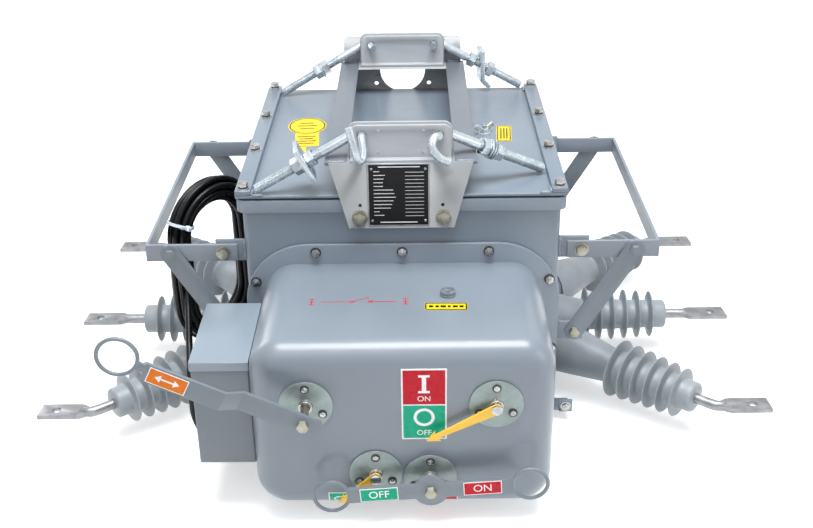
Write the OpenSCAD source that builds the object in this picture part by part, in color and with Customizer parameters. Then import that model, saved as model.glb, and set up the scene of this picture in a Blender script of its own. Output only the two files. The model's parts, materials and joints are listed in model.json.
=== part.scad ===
// Pole-mounted automatic circuit recloser, three phase, tank type.
// +X is to the right and +Z is up. The mechanism side faces -Y.
// The origin is the centre of the tank's base. All sizes are in millimetres.

/* [Tank] */
// Width of the tank between its side walls
tank_w = 484; // [460:2:510]
// Depth of the tank between its front and back walls
tank_d = 480; // [460:2:510]
// Height of the tank up to the lid's gasket
tank_h = 406; // [396:1:430]
// Corner radius of the welded tank
tank_corner_r = 8; // [4:1:14]
// How far the rolled rim stands out of the walls
rim_out = 8; // [6:1:12]
// Height of the rolled rim
rim_h = 20; // [12:1:26]

/* [Lid] */
// Thickness of the gasket under the lid
gasket_t = 3; // [2:0.5:6]
// Set-back of the gasket from the lid's edge
gasket_inset = 5; // [3:1:8]
// Thickness of the lid plate
lid_t = 5; // [4:0.5:8]
// Width of the clamp bars along the lid's two sides
clamp_bar_w = 24; // [20:1:30]
// Thickness of the clamp bars
clamp_bar_t = 8; // [5:0.5:10]
// Bolts in each clamp bar
lid_bolt_n = 4; // [2:1:6]
// Distance of the first and last lid bolts from the lid's edge
lid_bolt_end = 12; // [11:1:20]
// Diameter of the lid bolts' washers
lid_washer_d = 20; // [16:1:22]
// Diameter of the lid bolts' heads
lid_head_d = 16; // [12:1:18]
// Height of the lid bolts' heads
lid_head_h = 8; // [6:1:10]

/* [Front flange] */
// How far the flange plate stands out beyond the tank's side walls
flange_over = 3; // [1:0.5:6]
// Height of the flange plate's lower edge above the base
flange_bottom = 18; // [14:1:24]
// Height of the flange plate's upper edge above the base
flange_top = 331; // [325:1:345]
// Thickness of the flange plate
flange_t = 6; // [4:0.5:8]
// Radius of the flange plate's upper corners
flange_top_r = 100; // [80:5:110]
// Radius of the flange plate's lower corners
flange_low_r = 12; // [6:1:20]
// Diameter of the flange bolts' heads
flange_head_d = 13; // [10:1:14]

/* [Mechanism cover] */
// Distance of the pressed cover from the flange plate's side edges
cover_side = 31; // [27:1:36]
// Height of the cover's upper side above the base
cover_top = 298; // [290:1:302]
// Height of the cover's underside above the base
cover_bottom = 26; // [24:1:34]
// Depth of the cover in front of the flange plate
cover_d = 254; // [240:2:270]
// Corner radius of the cover, seen from the front
cover_corner_r = 48; // [42:1:54]
// Rounding of the cover's front edges
cover_edge_r = 34; // [28:1:38]
// Diameter of the breather plug on the cover
vent_d = 23; // [18:1:28]
// Height of the breather plug
vent_h = 10; // [8:1:14]
// Distance of the breather plug to the right of the middle
vent_x = 67; // [50:1:90]

/* [Terminal box] */
// Width of the terminal box at the cover's left side
box_w = 82; // [76:1:88]
// Depth of the terminal box
box_d = 168; // [150:2:176]
// Height of the terminal box's lid above the base
box_top = 260; // [250:1:268]
// Height of the terminal box's underside above the base
box_bottom = 88; // [80:1:96]
// Distance of the terminal box behind the cover's front face
box_back = 31; // [28:1:40]
// Height of the lid's skirt
box_lip = 14; // [10:1:20]
// Sheet thickness of the box's lid
box_sheet = 1.5; // [1:0.5:3]

/* [Dials] */
// Diameter of the four bearing plates
dial_d = 76; // [70:1:77]
// Thickness of the bearing plates
dial_t = 3; // [2:0.5:4]
// Diameter of the bearing hubs
hub_d = 20; // [18:1:26]
// Length of the hubs in front of their plates
hub_len = 6; // [4:0.5:7]
// Diameter of the lever shafts
shaft_d = 12; // [10:1:14]
// Radial running clearance of the shafts
shaft_gap = 0.08; // [0.05:0.01:0.1]
// Radius of the bearing plates' screw circle
dial_screw_r = 27; // [24:1:30]
// Diameter of the bearing plates' screw heads
dial_screw_d = 9; // [7:1:11]
// Height of the bearing plates' screw heads
dial_screw_h = 4; // [3:0.5:4]
// Width of the position plate
label_w = 63; // [55:1:68]
// Distance of the position plate to the right of the middle
label_x = 30; // [26:1:34]
// Height of the position plate
label_h = 116; // [100:1:122]
// Thickness of the position plate
label_t = 1; // [0.8:0.1:2]

/* [Charging lever] */
// Width of the charging lever's flat bar
lever_w = 29; // [24:1:32]
// Thickness of the charging lever's bar
lever_t = 5; // [4:0.5:6]
// Distance from the shaft to the far end of the bar
lever_len = 224; // [210:2:240]
// Distance of the lever's bar in front of the cover
lever_stand = 44; // [42:1:50]
// How far the lever's outer half steps forward
lever_step = 18; // [10:1:22]
// Angle of the parked lever above the horizontal
lever_park = 26; // [20:1:32]
// Outer diameter of the lever's pull ring
lever_ring_d = 59; // [52:1:64]
// Diameter of the pull rings' wire
ring_wire = 5.5; // [4:0.5:7]

/* [Operating handle] */
// Distance from the handle's shaft to each ring's centre
handle_r = 140; // [130:1:145]
// Width of the handle's arms
handle_w = 24; // [20:1:26]
// Thickness of the handle
handle_t = 5; // [4:0.5:6]
// Distance of the handle in front of the cover
handle_stand = 30; // [30:1:33]
// Diameter of the handle's middle
handle_boss_d = 50; // [44:1:56]
// Outer diameter of the handle's rings
handle_ring_d = 55; // [48:1:58]
// Angle at which the parked handle leans
handle_park = 4; // [0:1:6]

/* [Pointers] */
// Length of the position pointer
pointer_len = 110; // [100:1:114]
// Thickness of both pointers
pointer_t = 2.5; // [2:0.5:3]
// Distance of the pointers in front of the cover
pointer_stand = 13; // [12:0.5:14]
// Angle of the position pointer below the horizontal
pointer_park = 28; // [24:1:32]
// Length of the charge pointer
charge_len = 70; // [60:1:72]
// Angle of the charge pointer below the horizontal
charge_park = 39; // [34:1:44]

/* [Top bracket] */
// Height of the bracket's upper edge above the tank's upper edge
bracket_rise = 61; // [54:1:74]
// Distance of the bracket's lower edge below the tank's upper edge
bracket_drop = 45; // [38:1:54]
// Width of the bracket's plates at the top
bracket_w_top = 214; // [208:2:224]
// Width of the bracket's plates at the bottom
bracket_w_low = 159; // [150:1:170]
// Thickness of the bracket's sheet
bracket_t = 4; // [3:0.5:5]
// Depth of the bracket's bent edges
bracket_lip = 36; // [28:1:44]
// Width of the rating plate
rating_w = 92; // [80:1:94]
// Width of the two rails between the bracket's plates
rail_w = 33; // [28:1:36]
// Thickness of the rails
rail_t = 5; // [4:0.5:6]
// Distance of the bracket's bolts from the middle
bracket_bolt_x = 63; // [58:1:66]
// Distance of the bracket's bolts below the tank's upper edge
bracket_bolt_drop = 27; // [25:1:32]
// Radius of the pole notch in the rear plate
notch_r = 42; // [36:1:44]

/* [Clamp angles] */
// Distance of the clamp angles' ends from the sides of the bracket's upper edge
clamp_side = 32; // [30:1:37]
// Height of the clamp angles' upright plates
clamp_h = 54; // [50:1:60]
// Corner radius of the upright plates
clamp_r = 13; // [8:1:18]
// Depth of the clamp angles' foot
clamp_foot = 12; // [10:1:16]
// Height of the hook holes above the rails
hook_z = 38; // [35:1:40]
// Distance of the hook holes from the clamp angles' ends
hook_in = 18; // [16:1:20]
// Radius of the hook holes
hook_hole_r = 7.2; // [7:0.1:8]

/* [Hook bolts] */
// Radius of the hook bolts' threaded rods
rod_r = 7.8; // [7:0.1:8]
// Radius of the bent hooks
hook_r = 6.2; // [5.5:0.1:6.4]
// Width across the corners of the nuts
nut_d = 27; // [24:1:28]
// Height of the nuts
nut_h = 13; // [11:0.5:14]

/* [Side frames] */
// Distance of the frames' outer bars from the tank's walls
frame_out = 154; // [148:1:168]
// Height of the frames' upper edge above the base
frame_z = 330; // [320:1:340]
// Height of the frames' flat bar
frame_h = 28; // [24:1:32]
// Thickness of the frames' flat bar
frame_t = 5; // [4:0.5:6]
// Distance of the frames' rear arms behind the middle
frame_back = 202; // [190:2:220]
// Length of the frames' wall angles
frame_tab = 46; // [40:1:50]
// Width of the diagonal struts
strut_w = 30; // [26:1:32]
// Distance of the struts' upper bolts from the tank's walls
strut_top_out = 116; // [110:1:120]
// Distance of the struts' lower bolts from the tank's walls
strut_low_out = 30; // [26:1:34]
// Height of the struts' lower bolts above the base
strut_z_low = 172; // [166:1:180]

/* [Bushings] */
// Height of the bushings' axes above the base
bushing_z = 70; // [64:1:80]
// Distance between neighbouring bushings along the wall
bushing_pitch = 93; // [90:1:100]
// Distance of the middle bushings in front of the tank's middle
bushing_front = 10; // [0:1:14]
// Angle at which the outer bushings fan out
bushing_fan = 40; // [36:1:44]
// Diameter of the bushings' cast bosses
boss_d = 84; // [80:1:88]
// Length of the bushings' bosses in front of the rim's line
boss_len = 12; // [8:1:16]
// Height of the weld bosses under the fanned bushings
boss_len_fan = 22; // [21.5:0.5:26]
// Diameter of an insulator at its root
insulator_d = 76; // [70:1:80]
// Diameter of an insulator's core at its tip
core_d = 50; // [44:1:54]
// Diameter of the largest shed
shed_d = 98; // [90:1:104]
// Diameter of the smallest shed
shed_tip_d = 82; // [76:1:90]
// Sheds on each insulator
shed_n = 6; // [4:1:7]
// Distance between two sheds
shed_pitch = 23; // [20:1:24]
// Distance of an outer insulator's first shed from its root
shed_start = 140; // [120:2:146]
// Distance of a middle insulator's first shed from its root
shed_start_mid = 76; // [70:1:84]
// Distance of an insulator's tip beyond its last shed
insulator_tip = 28; // [24:1:34]
// Diameter of the terminal rods
stem_d = 17; // [14:1:20]
// Distance of the terminal blades' ends from the tank's walls
blade_out = 338; // [334:1:358]
// Length of the terminal blades
blade_len = 88; // [80:1:94]
// Width of the terminal blades
blade_w = 34; // [30:1:38]
// Thickness of the terminal blades
blade_t = 7; // [6:0.5:8]
// Diameter of the holes in the terminal blades
blade_hole_d = 13; // [11:0.5:14]
// Distance of the blade's hole from its tip
blade_hole_in = 28; // [24:1:34]

/* [Control cable] */
// Diameter of the control cable
cable_d = 11; // [10:0.5:12]
// Radius of the cable coil's bends, at the middle of the bundle
coil_bend_r = 70; // [66:1:72]
// Length of the cable coil's straight sides
coil_side = 116; // [106:2:120]
// Radius of the tied bundle
bundle_r = 21; // [19:0.5:21.5]
// Direction of the coil's plane, seen from above
coil_turn = 50; // [46:1:54]

/* [Hidden] */
$fn = 48;

front_y = -tank_d / 2;
back_y = tank_d / 2;
flange_w = tank_w + 2 * flange_over;
cover_w = flange_w - 2 * cover_side;
frame_x = tank_w / 2 + frame_out;
strut_x_top = tank_w / 2 + strut_top_out;
strut_x_low = tank_w / 2 + strut_low_out;
blade_x = tank_w / 2 + blade_out;
rim_w = tank_w + 2 * rim_out;
rim_d = tank_d + 2 * rim_out;
lid_z = tank_h + gasket_t;
lid_top = lid_z + lid_t;
bar_top = lid_top + clamp_bar_t;
flange_y = front_y - flange_t;
cover_y = flange_y - cover_d;
cover_mid = (cover_top + cover_bottom) / 2;
box_front = cover_y + box_back;
bracket_y = rim_d / 2;
bracket_top = tank_h + bracket_rise;
bracket_bottom = tank_h - bracket_drop;
bracket_bolt_z = tank_h - bracket_bolt_drop;
clamp_w = bracket_w_top - 2 * clamp_side;
hook_x = clamp_w / 2 - hook_in;
washer_t = 2;

// Centres of the four bearing plates on the cover: X and height
dial_ul = [-134, 209];
dial_ur = [130, 208];
dial_ll = [-39.3, 93];
dial_lr = [38.4, 85.2];
DIALS = [dial_ul, dial_ur, dial_ll, dial_lr];

function unit(v) = v / norm(v);
// One Catmull-Rom segment of a smooth curve, cut into steps
function curve_point(a, b, c, d, t) =
    0.5 * (2 * b + (c - a) * t + (2 * a - 5 * b + 4 * c - d) * t * t + (3 * b - a - 3 * c + d) * t * t * t);
function curve(p, steps) = concat(
    [for (i = [0 : len(p) - 2], s = [0 : steps - 1])
        curve_point(p[max(i - 1, 0)], p[i], p[i + 1], p[min(i + 2, len(p) - 1)], s / steps)],
    [p[len(p) - 1]]);
function tangents(p) = [for (i = [0 : len(p) - 1]) unit(p[min(i + 1, len(p) - 1)] - p[max(i - 1, 0)])];
// Carries a side direction along the curve without twisting it
function carried(t, i, before) = i == len(t) ? [] :
    let (n = unit(before - (before * t[i]) * t[i])) concat([n], carried(t, i + 1, n));

// A closed tube along the points p, with radius r[i] at each point
module tube(p, r, sides = 12) {
    t = tangents(p);
    start = abs(t[0].z) < 0.9 ? [0, 0, 1] : [1, 0, 0];
    n = carried(t, 0, start);
    last = len(p) - 1;
    points = [for (i = [0 : last], k = [0 : sides - 1])
        let (a = 360 * k / sides, m = cross(t[i], n[i])) p[i] + r[i] * (cos(a) * n[i] + sin(a) * m)];
    walls = [for (i = [0 : last - 1], k = [0 : sides - 1])
        let (j = (k + 1) % sides)
            [i * sides + k, (i + 1) * sides + k, (i + 1) * sides + j, i * sides + j]];
    near_end = [[for (k = [0 : sides - 1]) k]];
    far_end = [[for (k = [sides - 1 : -1 : 0]) last * sides + k]];
    polyhedron(points = points, faces = concat(near_end, walls, far_end), convexity = 6);
}

// Turns a shape that is modelled along +Z to lie along the vector v
module along(v) {
    rotate([0, acos(v.z / norm(v)), atan2(v.y, v.x)]) children();
}

module rounded_square(w, d, r) {
    square([w, d - 2 * r], center = true);
    square([w - 2 * r, d], center = true);
    for (x = [-1, 1], y = [-1, 1]) translate([x * (w / 2 - r), y * (d / 2 - r)]) circle(r);
}

// An upright plate: its outline is drawn in X and Z, its front face is at y
module upright(y, t) {
    translate([0, y + t, 0]) rotate([90, 0, 0]) linear_extrude(t) children();
}

// A screw or bolt head on a face that looks towards -Y
module front_head(x, z, y, d, h, sides = 6) {
    translate([x, y, z]) rotate([90, 0, 0]) cylinder(d = d, h = h, $fn = sides);
}

module at_dial(p, y) {
    translate([p.x, y, p.y]) children();
}

module tank_body() {
    color("lightslategray") linear_extrude(tank_h) rounded_square(tank_w, tank_d, tank_corner_r);
}

module tank_rim() {
    color("lightslategray") translate([0, 0, tank_h - rim_h]) linear_extrude(rim_h) difference() {
        rounded_square(rim_w, rim_d, tank_corner_r + rim_out);
        rounded_square(tank_w, tank_d, tank_corner_r);
    }
}

module lid_gasket() {
    color("black") translate([0, 0, tank_h]) linear_extrude(gasket_t)
        rounded_square(rim_w - 2 * gasket_inset, rim_d - 2 * gasket_inset, tank_corner_r);
}

module lid_plate() {
    color("lightsteelblue") translate([0, 0, lid_z]) linear_extrude(lid_t)
        rounded_square(rim_w, rim_d, 3);
}

module lid_clamp_bars() {
    color("lightsteelblue") for (s = [-1, 1])
        translate([s * (rim_w - clamp_bar_w) / 2, 0, lid_top + clamp_bar_t / 2])
            cube([clamp_bar_w, rim_d, clamp_bar_t], center = true);
}

module lid_bolts() {
    run = rim_d - 2 * lid_bolt_end;
    color("silver") for (s = [-1, 1], i = [0 : lid_bolt_n - 1])
        translate([s * (rim_w - clamp_bar_w) / 2, -run / 2 + i * run / (lid_bolt_n - 1), bar_top]) {
            cylinder(d = lid_washer_d, h = washer_t);
            cylinder(d = lid_head_d, h = washer_t + lid_head_h, $fn = 6);
        }
}

module front_flange() {
    x = flange_w / 2;
    color("lightslategray") upright(flange_y, flange_t) {
        translate([-x + flange_top_r, flange_bottom + flange_low_r])
            square([flange_w - 2 * flange_top_r, flange_top - flange_bottom - flange_low_r]);
        translate([-x, flange_bottom + flange_low_r])
            square([flange_w, flange_top - flange_bottom - flange_low_r - flange_top_r]);
        translate([-x + flange_low_r, flange_bottom]) square([flange_w - 2 * flange_low_r, flange_low_r]);
        for (s = [-1, 1]) {
            translate([s * (x - flange_top_r), flange_top - flange_top_r]) circle(flange_top_r, $fn = 96);
            translate([s * (x - flange_low_r), flange_bottom + flange_low_r]) circle(flange_low_r);
        }
    }
}

// Bolt places on the flange plate: X and height, for the right half
flange_edge = 9;
flange_bolt_diag = flange_top_r - flange_edge;
FLANGE_BOLTS = [
    [133, flange_top - flange_edge - 4],
    [flange_w / 2 - flange_top_r + flange_bolt_diag * cos(24),
     flange_top - flange_top_r + flange_bolt_diag * sin(24)],
    [flange_w / 2 - flange_edge, (flange_top + flange_bottom) / 2 - 30],
    [flange_w / 2 - flange_edge, flange_bottom + flange_low_r + 10]];

module flange_bolts() {
    color("silver") {
        front_head(0, flange_top - flange_edge - 4, flange_y, flange_head_d, 7);
        for (s = [-1, 1], b = FLANGE_BOLTS) front_head(s * b.x, b.y, flange_y, flange_head_d, 7);
    }
}

module mechanism_cover() {
    color("lightslategray") hull() for (s = [-1, 1], e = [-1, 1]) {
        x = s * (cover_w / 2 - cover_corner_r);
        z = cover_mid + e * ((cover_top - cover_bottom) / 2 - cover_corner_r);
        translate([x, cover_y + cover_edge_r, z]) rotate([90, 0, 0])
            rotate_extrude($fn = 32) translate([cover_corner_r - cover_edge_r, 0]) intersection() {
                circle(cover_edge_r, $fn = 32);
                translate([0, -cover_edge_r]) square(2 * cover_edge_r);
            }
        translate([x, flange_y, z]) rotate([90, 0, 0]) cylinder(r = cover_corner_r, h = 1, $fn = 32);
    }
}

module breather_plug() {
    color("lightslategray") translate([vent_x, flange_y - cover_d * 0.41, cover_top]) {
        cylinder(d = vent_d, h = vent_h * 0.4);
        cylinder(d = vent_d * 0.78, h = vent_h);
    }
}

module terminal_box() {
    color("slategray") translate([-cover_w / 2 - box_w, box_front, box_bottom])
        cube([box_w, box_d, box_top - box_sheet - box_bottom]);
}

module terminal_box_lid() {
    w = box_w + box_sheet;
    d = box_d + 2 * box_sheet;
    color("lightsteelblue") translate([-cover_w / 2 - w, box_front - box_sheet, box_top - box_lip])
        difference() {
            cube([w, d, box_lip]);
            translate([box_sheet, box_sheet, -1]) cube([box_w + 1, box_d, box_lip - box_sheet + 1]);
        }
}

module bearing_plates() {
    color("silver") for (p = DIALS) at_dial(p, cover_y) rotate([90, 0, 0]) difference() {
        union() {
            cylinder(d = dial_d, h = dial_t);
            cylinder(d = hub_d, h = dial_t + hub_len);
        }
        translate([0, 0, -1]) cylinder(r = shaft_d / 2 + shaft_gap, h = dial_t + hub_len + 2);
    }
}

module bearing_screws() {
    color("silver") for (p = DIALS, a = [90, 210, 330])
        at_dial(p + dial_screw_r * [cos(a), sin(a)], cover_y - dial_t) rotate([90, 0, 0])
            cylinder(d = dial_screw_d, h = dial_screw_h);
}

module position_plate() {
    color("seagreen") translate([label_x - label_w / 2, cover_y - label_t, dial_ur.y - label_h / 2])
        cube([label_w, label_t, label_h]);
}

// Outline of a bracket plate: half widths at the bottom and at the top
module bracket_outline() {
    polygon([[-bracket_w_low / 2, bracket_bottom], [bracket_w_low / 2, bracket_bottom],
             [bracket_w_top / 2, bracket_top], [-bracket_w_top / 2, bracket_top]]);
}

rail_in = bracket_w_top / 2 - rail_w + 6;
lip_gap = 3;

// One end of the bracket, for the side that faces -Y
module bracket_end() {
    upright(-bracket_y - bracket_t, bracket_t) children();
    translate([-rail_in, -bracket_y - 1, bracket_top - bracket_t])
        cube([2 * rail_in, bracket_lip + 1, bracket_t]);
    slope = (bracket_w_top - bracket_w_low) / 2 / (bracket_top - bracket_bottom);
    low = bar_top + lip_gap;
    high = bracket_top - rail_t;
    for (s = [-1, 1]) upright(-bracket_y - 1, bracket_lip + 1)
        polygon([for (q = [[low, 0], [high, 0], [high, bracket_t], [low, bracket_t]])
            [s * (bracket_w_top / 2 - q[1] - slope * (bracket_top - q[0])), q[0]]]);
}

module bracket_front() {
    color("lightgray") bracket_end() bracket_outline();
}

notch_z = bracket_top - 16;
ear_w = bracket_w_top + 2;
ear_low = bracket_top - 27;
ear_high = bracket_top + 45;

module bracket_rear() {
    color("lightgray") mirror([0, 1, 0]) {
        bracket_end() difference() {
            bracket_outline();
            intersection() {
                translate([0, notch_z]) circle(notch_r);
                translate([-notch_r, 0]) square([2 * notch_r, bracket_top - bracket_t]);
            }
            for (s = [-1, 1]) translate([s * (notch_r + 7), notch_z - 26]) circle(4);
        }
        upright(-bracket_y - 2 * bracket_t, bracket_t) difference() {
            translate([0, (ear_low + ear_high) / 2]) rounded_square(ear_w, ear_high - ear_low, 9);
            translate([0, notch_z]) circle(notch_r);
        }
    }
}

module bracket_rails() {
    color("lightgray") for (s = [-1, 1])
        translate([s * (rail_in + rail_w / 2), 0, bracket_top - rail_t / 2])
            cube([rail_w, 2 * bracket_y, rail_t], center = true);
}

// Each bolt has its head on the bracket and a spacer between bracket and tank
module bracket_bolts() {
    color("silver") for (e = [0, 1], s = [-1, 1]) mirror([0, e, 0]) {
        front_head(s * bracket_bolt_x, bracket_bolt_z, -bracket_y - bracket_t, 19, 7);
        front_head(s * bracket_bolt_x, bracket_bolt_z, front_y, 12, rim_out, 48);
    }
}

module rating_plate() {
    color("black") translate([-rating_w / 2 - 4, -bracket_y - bracket_t - 1, bracket_bottom + 4])
        cube([rating_w, 1, bracket_top - bracket_bottom - 5]);
}

clamp_front_y = -bracket_y + 8;
clamp_rear_y = bracket_y - 22;

// A clamp angle: a foot on the bracket's edge and two upright plates back to back
module clamp_angle(y) {
    difference() {
        union() {
            upright(y, bracket_t) translate([0, bracket_top + clamp_h / 2]) clamp_outline(clamp_w, clamp_h);
            upright(y + bracket_t, bracket_t) translate([0, bracket_top + clamp_h / 2 + 2])
                clamp_outline(clamp_w + 4, clamp_h + 4);
            translate([-clamp_w / 2, y - clamp_foot, bracket_top])
                cube([clamp_w, clamp_foot + 1, bracket_t]);
        }
        for (s = [-1, 1]) translate([s * hook_x, y - 1, bracket_top + hook_z]) rotate([-90, 0, 0])
            cylinder(r = hook_hole_r, h = 2 * bracket_t + 2);
    }
}

// A plate outline with square lower corners and round upper corners, centred
module clamp_outline(w, h) {
    translate([0, -clamp_r / 2]) square([w, h - clamp_r], center = true);
    translate([0, h / 2 - clamp_r / 2]) square([w - 2 * clamp_r, clamp_r], center = true);
    for (s = [-1, 1]) translate([s * (w / 2 - clamp_r), h / 2 - clamp_r]) circle(clamp_r);
}

module clamp_front() {
    color("lightgray") clamp_angle(clamp_front_y);
}

module clamp_rear() {
    color("lightgray") clamp_angle(clamp_rear_y);
}

// Hook holes, at the middle of the clamp angles' plates
hook_fl = [-hook_x, clamp_front_y + bracket_t, bracket_top + hook_z];
hook_fr = [hook_x, clamp_front_y + bracket_t, bracket_top + hook_z];
hook_rl = [-hook_x, clamp_rear_y + bracket_t, bracket_top + hook_z];
hook_rr = [hook_x, clamp_rear_y + bracket_t, bracket_top + hook_z];
// Points behind the plates where the straight rods start, and the rods' free ends
rod_back = bracket_t + rod_r + 1;
rod_start = 14;
rod_end_x = rim_w / 2 - clamp_bar_w - 7;
rod_end_z = bar_top;
ROD_FL = [hook_fl + [-rod_start, rod_back, -4], [-rod_end_x, -rim_d / 2 + 6, rod_end_z]];
ROD_FR = [hook_fr + [rod_start, rod_back, -4], [rod_end_x, -rim_d / 2 + 79, rod_end_z]];
ROD_RL = [hook_rl + [-rod_start, rod_back, -4], [-rod_end_x, rim_d / 2 - 36, rod_end_z]];
ROD_RR = [hook_rr + [rod_start, rod_back, -4], [rod_end_x, rim_d / 2 - 10, rod_end_z]];

// The bend from behind the plate, through the hole, and out in front of it
function through_hole(h) = [h + [0, rod_back - 2, 0], h + [0, 0, 0], h + [0, -bracket_t - 6, 0]];
// The hairpin in front of the left hole, and the open hook in front of the right hole
function hairpin(h) = [h + [1, -17, -6], h + [2.6, -25, -18], h + [0.5, -31, -26.5], h + [-4, -36, -25.5],
                       h + [-6.5, -38, -17], h + [-11, -37, 2], h + [-17, -34, 24]];
function open_hook(h) = [h + [-6, -16, 2], h + [-10, -22, -2], h + [-11, -27, -10], h + [-5, -31, -20],
                         h + [4, -33, -27], h + [15, -33, -32]];

module hook_bolt(rod, tail) {
    bend = curve(concat([rod[0]], tail), 4);
    p = concat([rod[1]], bend);
    tube(p, [for (i = [0 : len(p) - 1]) i < 2 ? rod_r : hook_r]);
}

module hook_bolts_front() {
    color("gainsboro") {
        hook_bolt(ROD_FL, concat(through_hole(hook_fl), hairpin(hook_fl)));
        hook_bolt(ROD_FR, concat(through_hole(hook_fr), open_hook(hook_fr)));
    }
}

module hook_bolts_rear() {
    color("gainsboro") {
        hook_bolt(ROD_RL, concat(through_hole(hook_rl), [hook_rl + [5, -22, -2]]));
        hook_bolt(ROD_RR, concat(through_hole(hook_rr), [hook_rr + [-1, -18, 0]]));
    }
}

// Puts a piece on a rod at a share of the way from the hook to the free end
module on_rod(rod, share) {
    translate(rod[0] + share * (rod[1] - rod[0])) along(rod[1] - rod[0]) children();
}

module ring(d, h, sides = 48) {
    difference() {
        cylinder(d = d, h = h, $fn = sides);
        translate([0, 0, -1]) cylinder(r = rod_r + 0.2, h = h + 2, $fn = 48);
    }
}

plate_fl = 0.47;
plate_rr = 83.917 / norm(ROD_RR[1] - ROD_RR[0]);
press_t = 7;
// Distance of the two nuts from the middle of the loose plate
loose_gap = 12.7;

module hook_nuts() {
    color("gainsboro") {
        on_rod(ROD_FL, plate_fl) {
            translate([0, 0, press_t]) ring(nut_d + 4, 3);
            translate([0, 0, press_t + 3]) ring(nut_d, nut_h, 6);
            translate([0, 0, -nut_h]) ring(nut_d, nut_h, 6);
        }
        on_rod(ROD_FR, 0.34) {
            ring(nut_d, nut_h, 6);
            for (i = [0 : 2]) translate([0, 0, nut_h + 4 * i]) ring(nut_d + 3, 3);
            translate([0, 0, nut_h + 12]) ring(nut_d, nut_h, 6);
        }
        on_rod(ROD_RL, 0.44) {
            ring(nut_d, nut_h, 6);
            translate([0, 0, nut_h]) ring(nut_d + 4, 3);
            translate([0, 0, nut_h + 3]) ring(nut_d, nut_h, 6);
        }
        on_rod(ROD_RR, plate_rr) {
            translate([0, 0, -nut_h - loose_gap]) ring(nut_d, nut_h, 6);
            translate([0, 0, loose_gap]) ring(nut_d, nut_h, 6);
        }
    }
}

// The square plate on the front left rod, and the bent plate that hangs loose on the rear right rod
module press_plates() {
    color("gainsboro") {
        on_rod(ROD_FL, plate_fl) difference() {
            translate([-29, -24, 0]) cube([58, 48, press_t]);
            translate([0, 0, -1]) cylinder(r = rod_r + 0.2, h = press_t + 2);
        }
        difference() {
            translate(ROD_RR[0] + plate_rr * (ROD_RR[1] - ROD_RR[0])) rotate([90, 0, 10])
                linear_extrude(height = 36, center = true)
                polygon([[-4, 30], [4, 30], [4, -24.5], [16.5, -37.5], [11, -43], [-4, -28]]);
            on_rod(ROD_RR, plate_rr) translate([0, 0, -20]) cylinder(r = rod_r + 0.2, h = 40);
        }
    }
}

frame_low = frame_z - frame_h;

// A side frame, drawn for the right side: front arm, outer bar and rear arm
module frame() {
    inner = tank_w / 2 + 12;
    translate([inner, front_y, frame_low]) cube([frame_x - inner, frame_t, frame_h]);
    translate([inner, frame_back - frame_t, frame_low]) cube([frame_x - inner, frame_t, frame_h]);
    translate([frame_x - frame_t, front_y, frame_low]) cube([frame_t, frame_back - front_y, frame_h]);
}

module frame_right() {
    color("slategray") frame();
}

module frame_left() {
    color("slategray") mirror([1, 0, 0]) frame();
}

// Plates on the tank's walls that carry the frames' arms and the struts' feet
module frame_lugs() {
    x = tank_w / 2;
    color("lightslategray") for (s = [0, 1]) mirror([s, 0, 0]) {
        translate([x, front_y + frame_t, frame_low - 2]) cube([frame_tab, frame_t, frame_h + 8]);
        translate([x, frame_back - 2 * frame_t, frame_low - 2]) cube([frame_tab, frame_t, frame_h + 8]);
        translate([x, front_y, strut_z_low - 16]) cube([strut_x_low + 14 - x, frame_t, 32]);
        translate([x, frame_back - frame_t, strut_z_low - 16]) cube([strut_x_low + 14 - x, frame_t, 32]);
    }
}

// A strut's outline in X and Z: a bar with round ends from the arm to the lug
module strut_outline() {
    low = [strut_x_low, strut_z_low];
    high = [strut_x_top, frame_low + frame_h / 2];
    run = high - low;
    translate(low) rotate(atan2(run.y, run.x)) {
        translate([0, -strut_w / 2]) square([norm(run), strut_w]);
        circle(d = strut_w);
        translate([norm(run), 0]) circle(d = strut_w);
    }
}

strut_t = 4;

module struts() {
    upright(front_y - strut_t, strut_t) strut_outline();
    upright(frame_back, strut_t) strut_outline();
    for (p = [[strut_x_low, strut_z_low], [strut_x_top, frame_low + frame_h / 2]]) {
        front_head(p.x, p.y, front_y - strut_t, 17, 7);
        translate([0, frame_back + strut_t + 7, 0]) front_head(p.x, p.y, 0, 17, 7);
    }
}

module struts_right() {
    color("slategray") struts();
}

module struts_left() {
    color("slategray") mirror([1, 0, 0]) struts();
}

boss_x = tank_w / 2 + rim_out;
// Y offset along the wall and fan angle of each bushing on one side
BUSHINGS = [[-bushing_front - bushing_pitch, -bushing_fan], [-bushing_front, 0],
            [-bushing_front + bushing_pitch, bushing_fan]];

// Puts a piece that is modelled along +X at a bushing's root
module at_bushing(b) {
    translate([boss_x, b[0], bushing_z]) rotate([0, 0, b[1]]) children();
}

// Height of a bushing's weld boss
function root_len(b) = b[1] == 0 ? boss_len : boss_len_fan;

module boss(b) {
    difference() {
        at_bushing(b) rotate([0, 90, 0]) translate([0, 0, -boss_d]) cylinder(d = boss_d, h = boss_d + root_len(b));
        translate([tank_w / 2 - 2 * tank_w, -tank_d, -tank_h]) cube([2 * tank_w, 2 * tank_d, 3 * tank_h]);
    }
}

module bushing_bosses() {
    color("lightslategray") for (s = [0, 1]) mirror([s, 0, 0]) for (b = BUSHINGS) boss(b);
}

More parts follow.
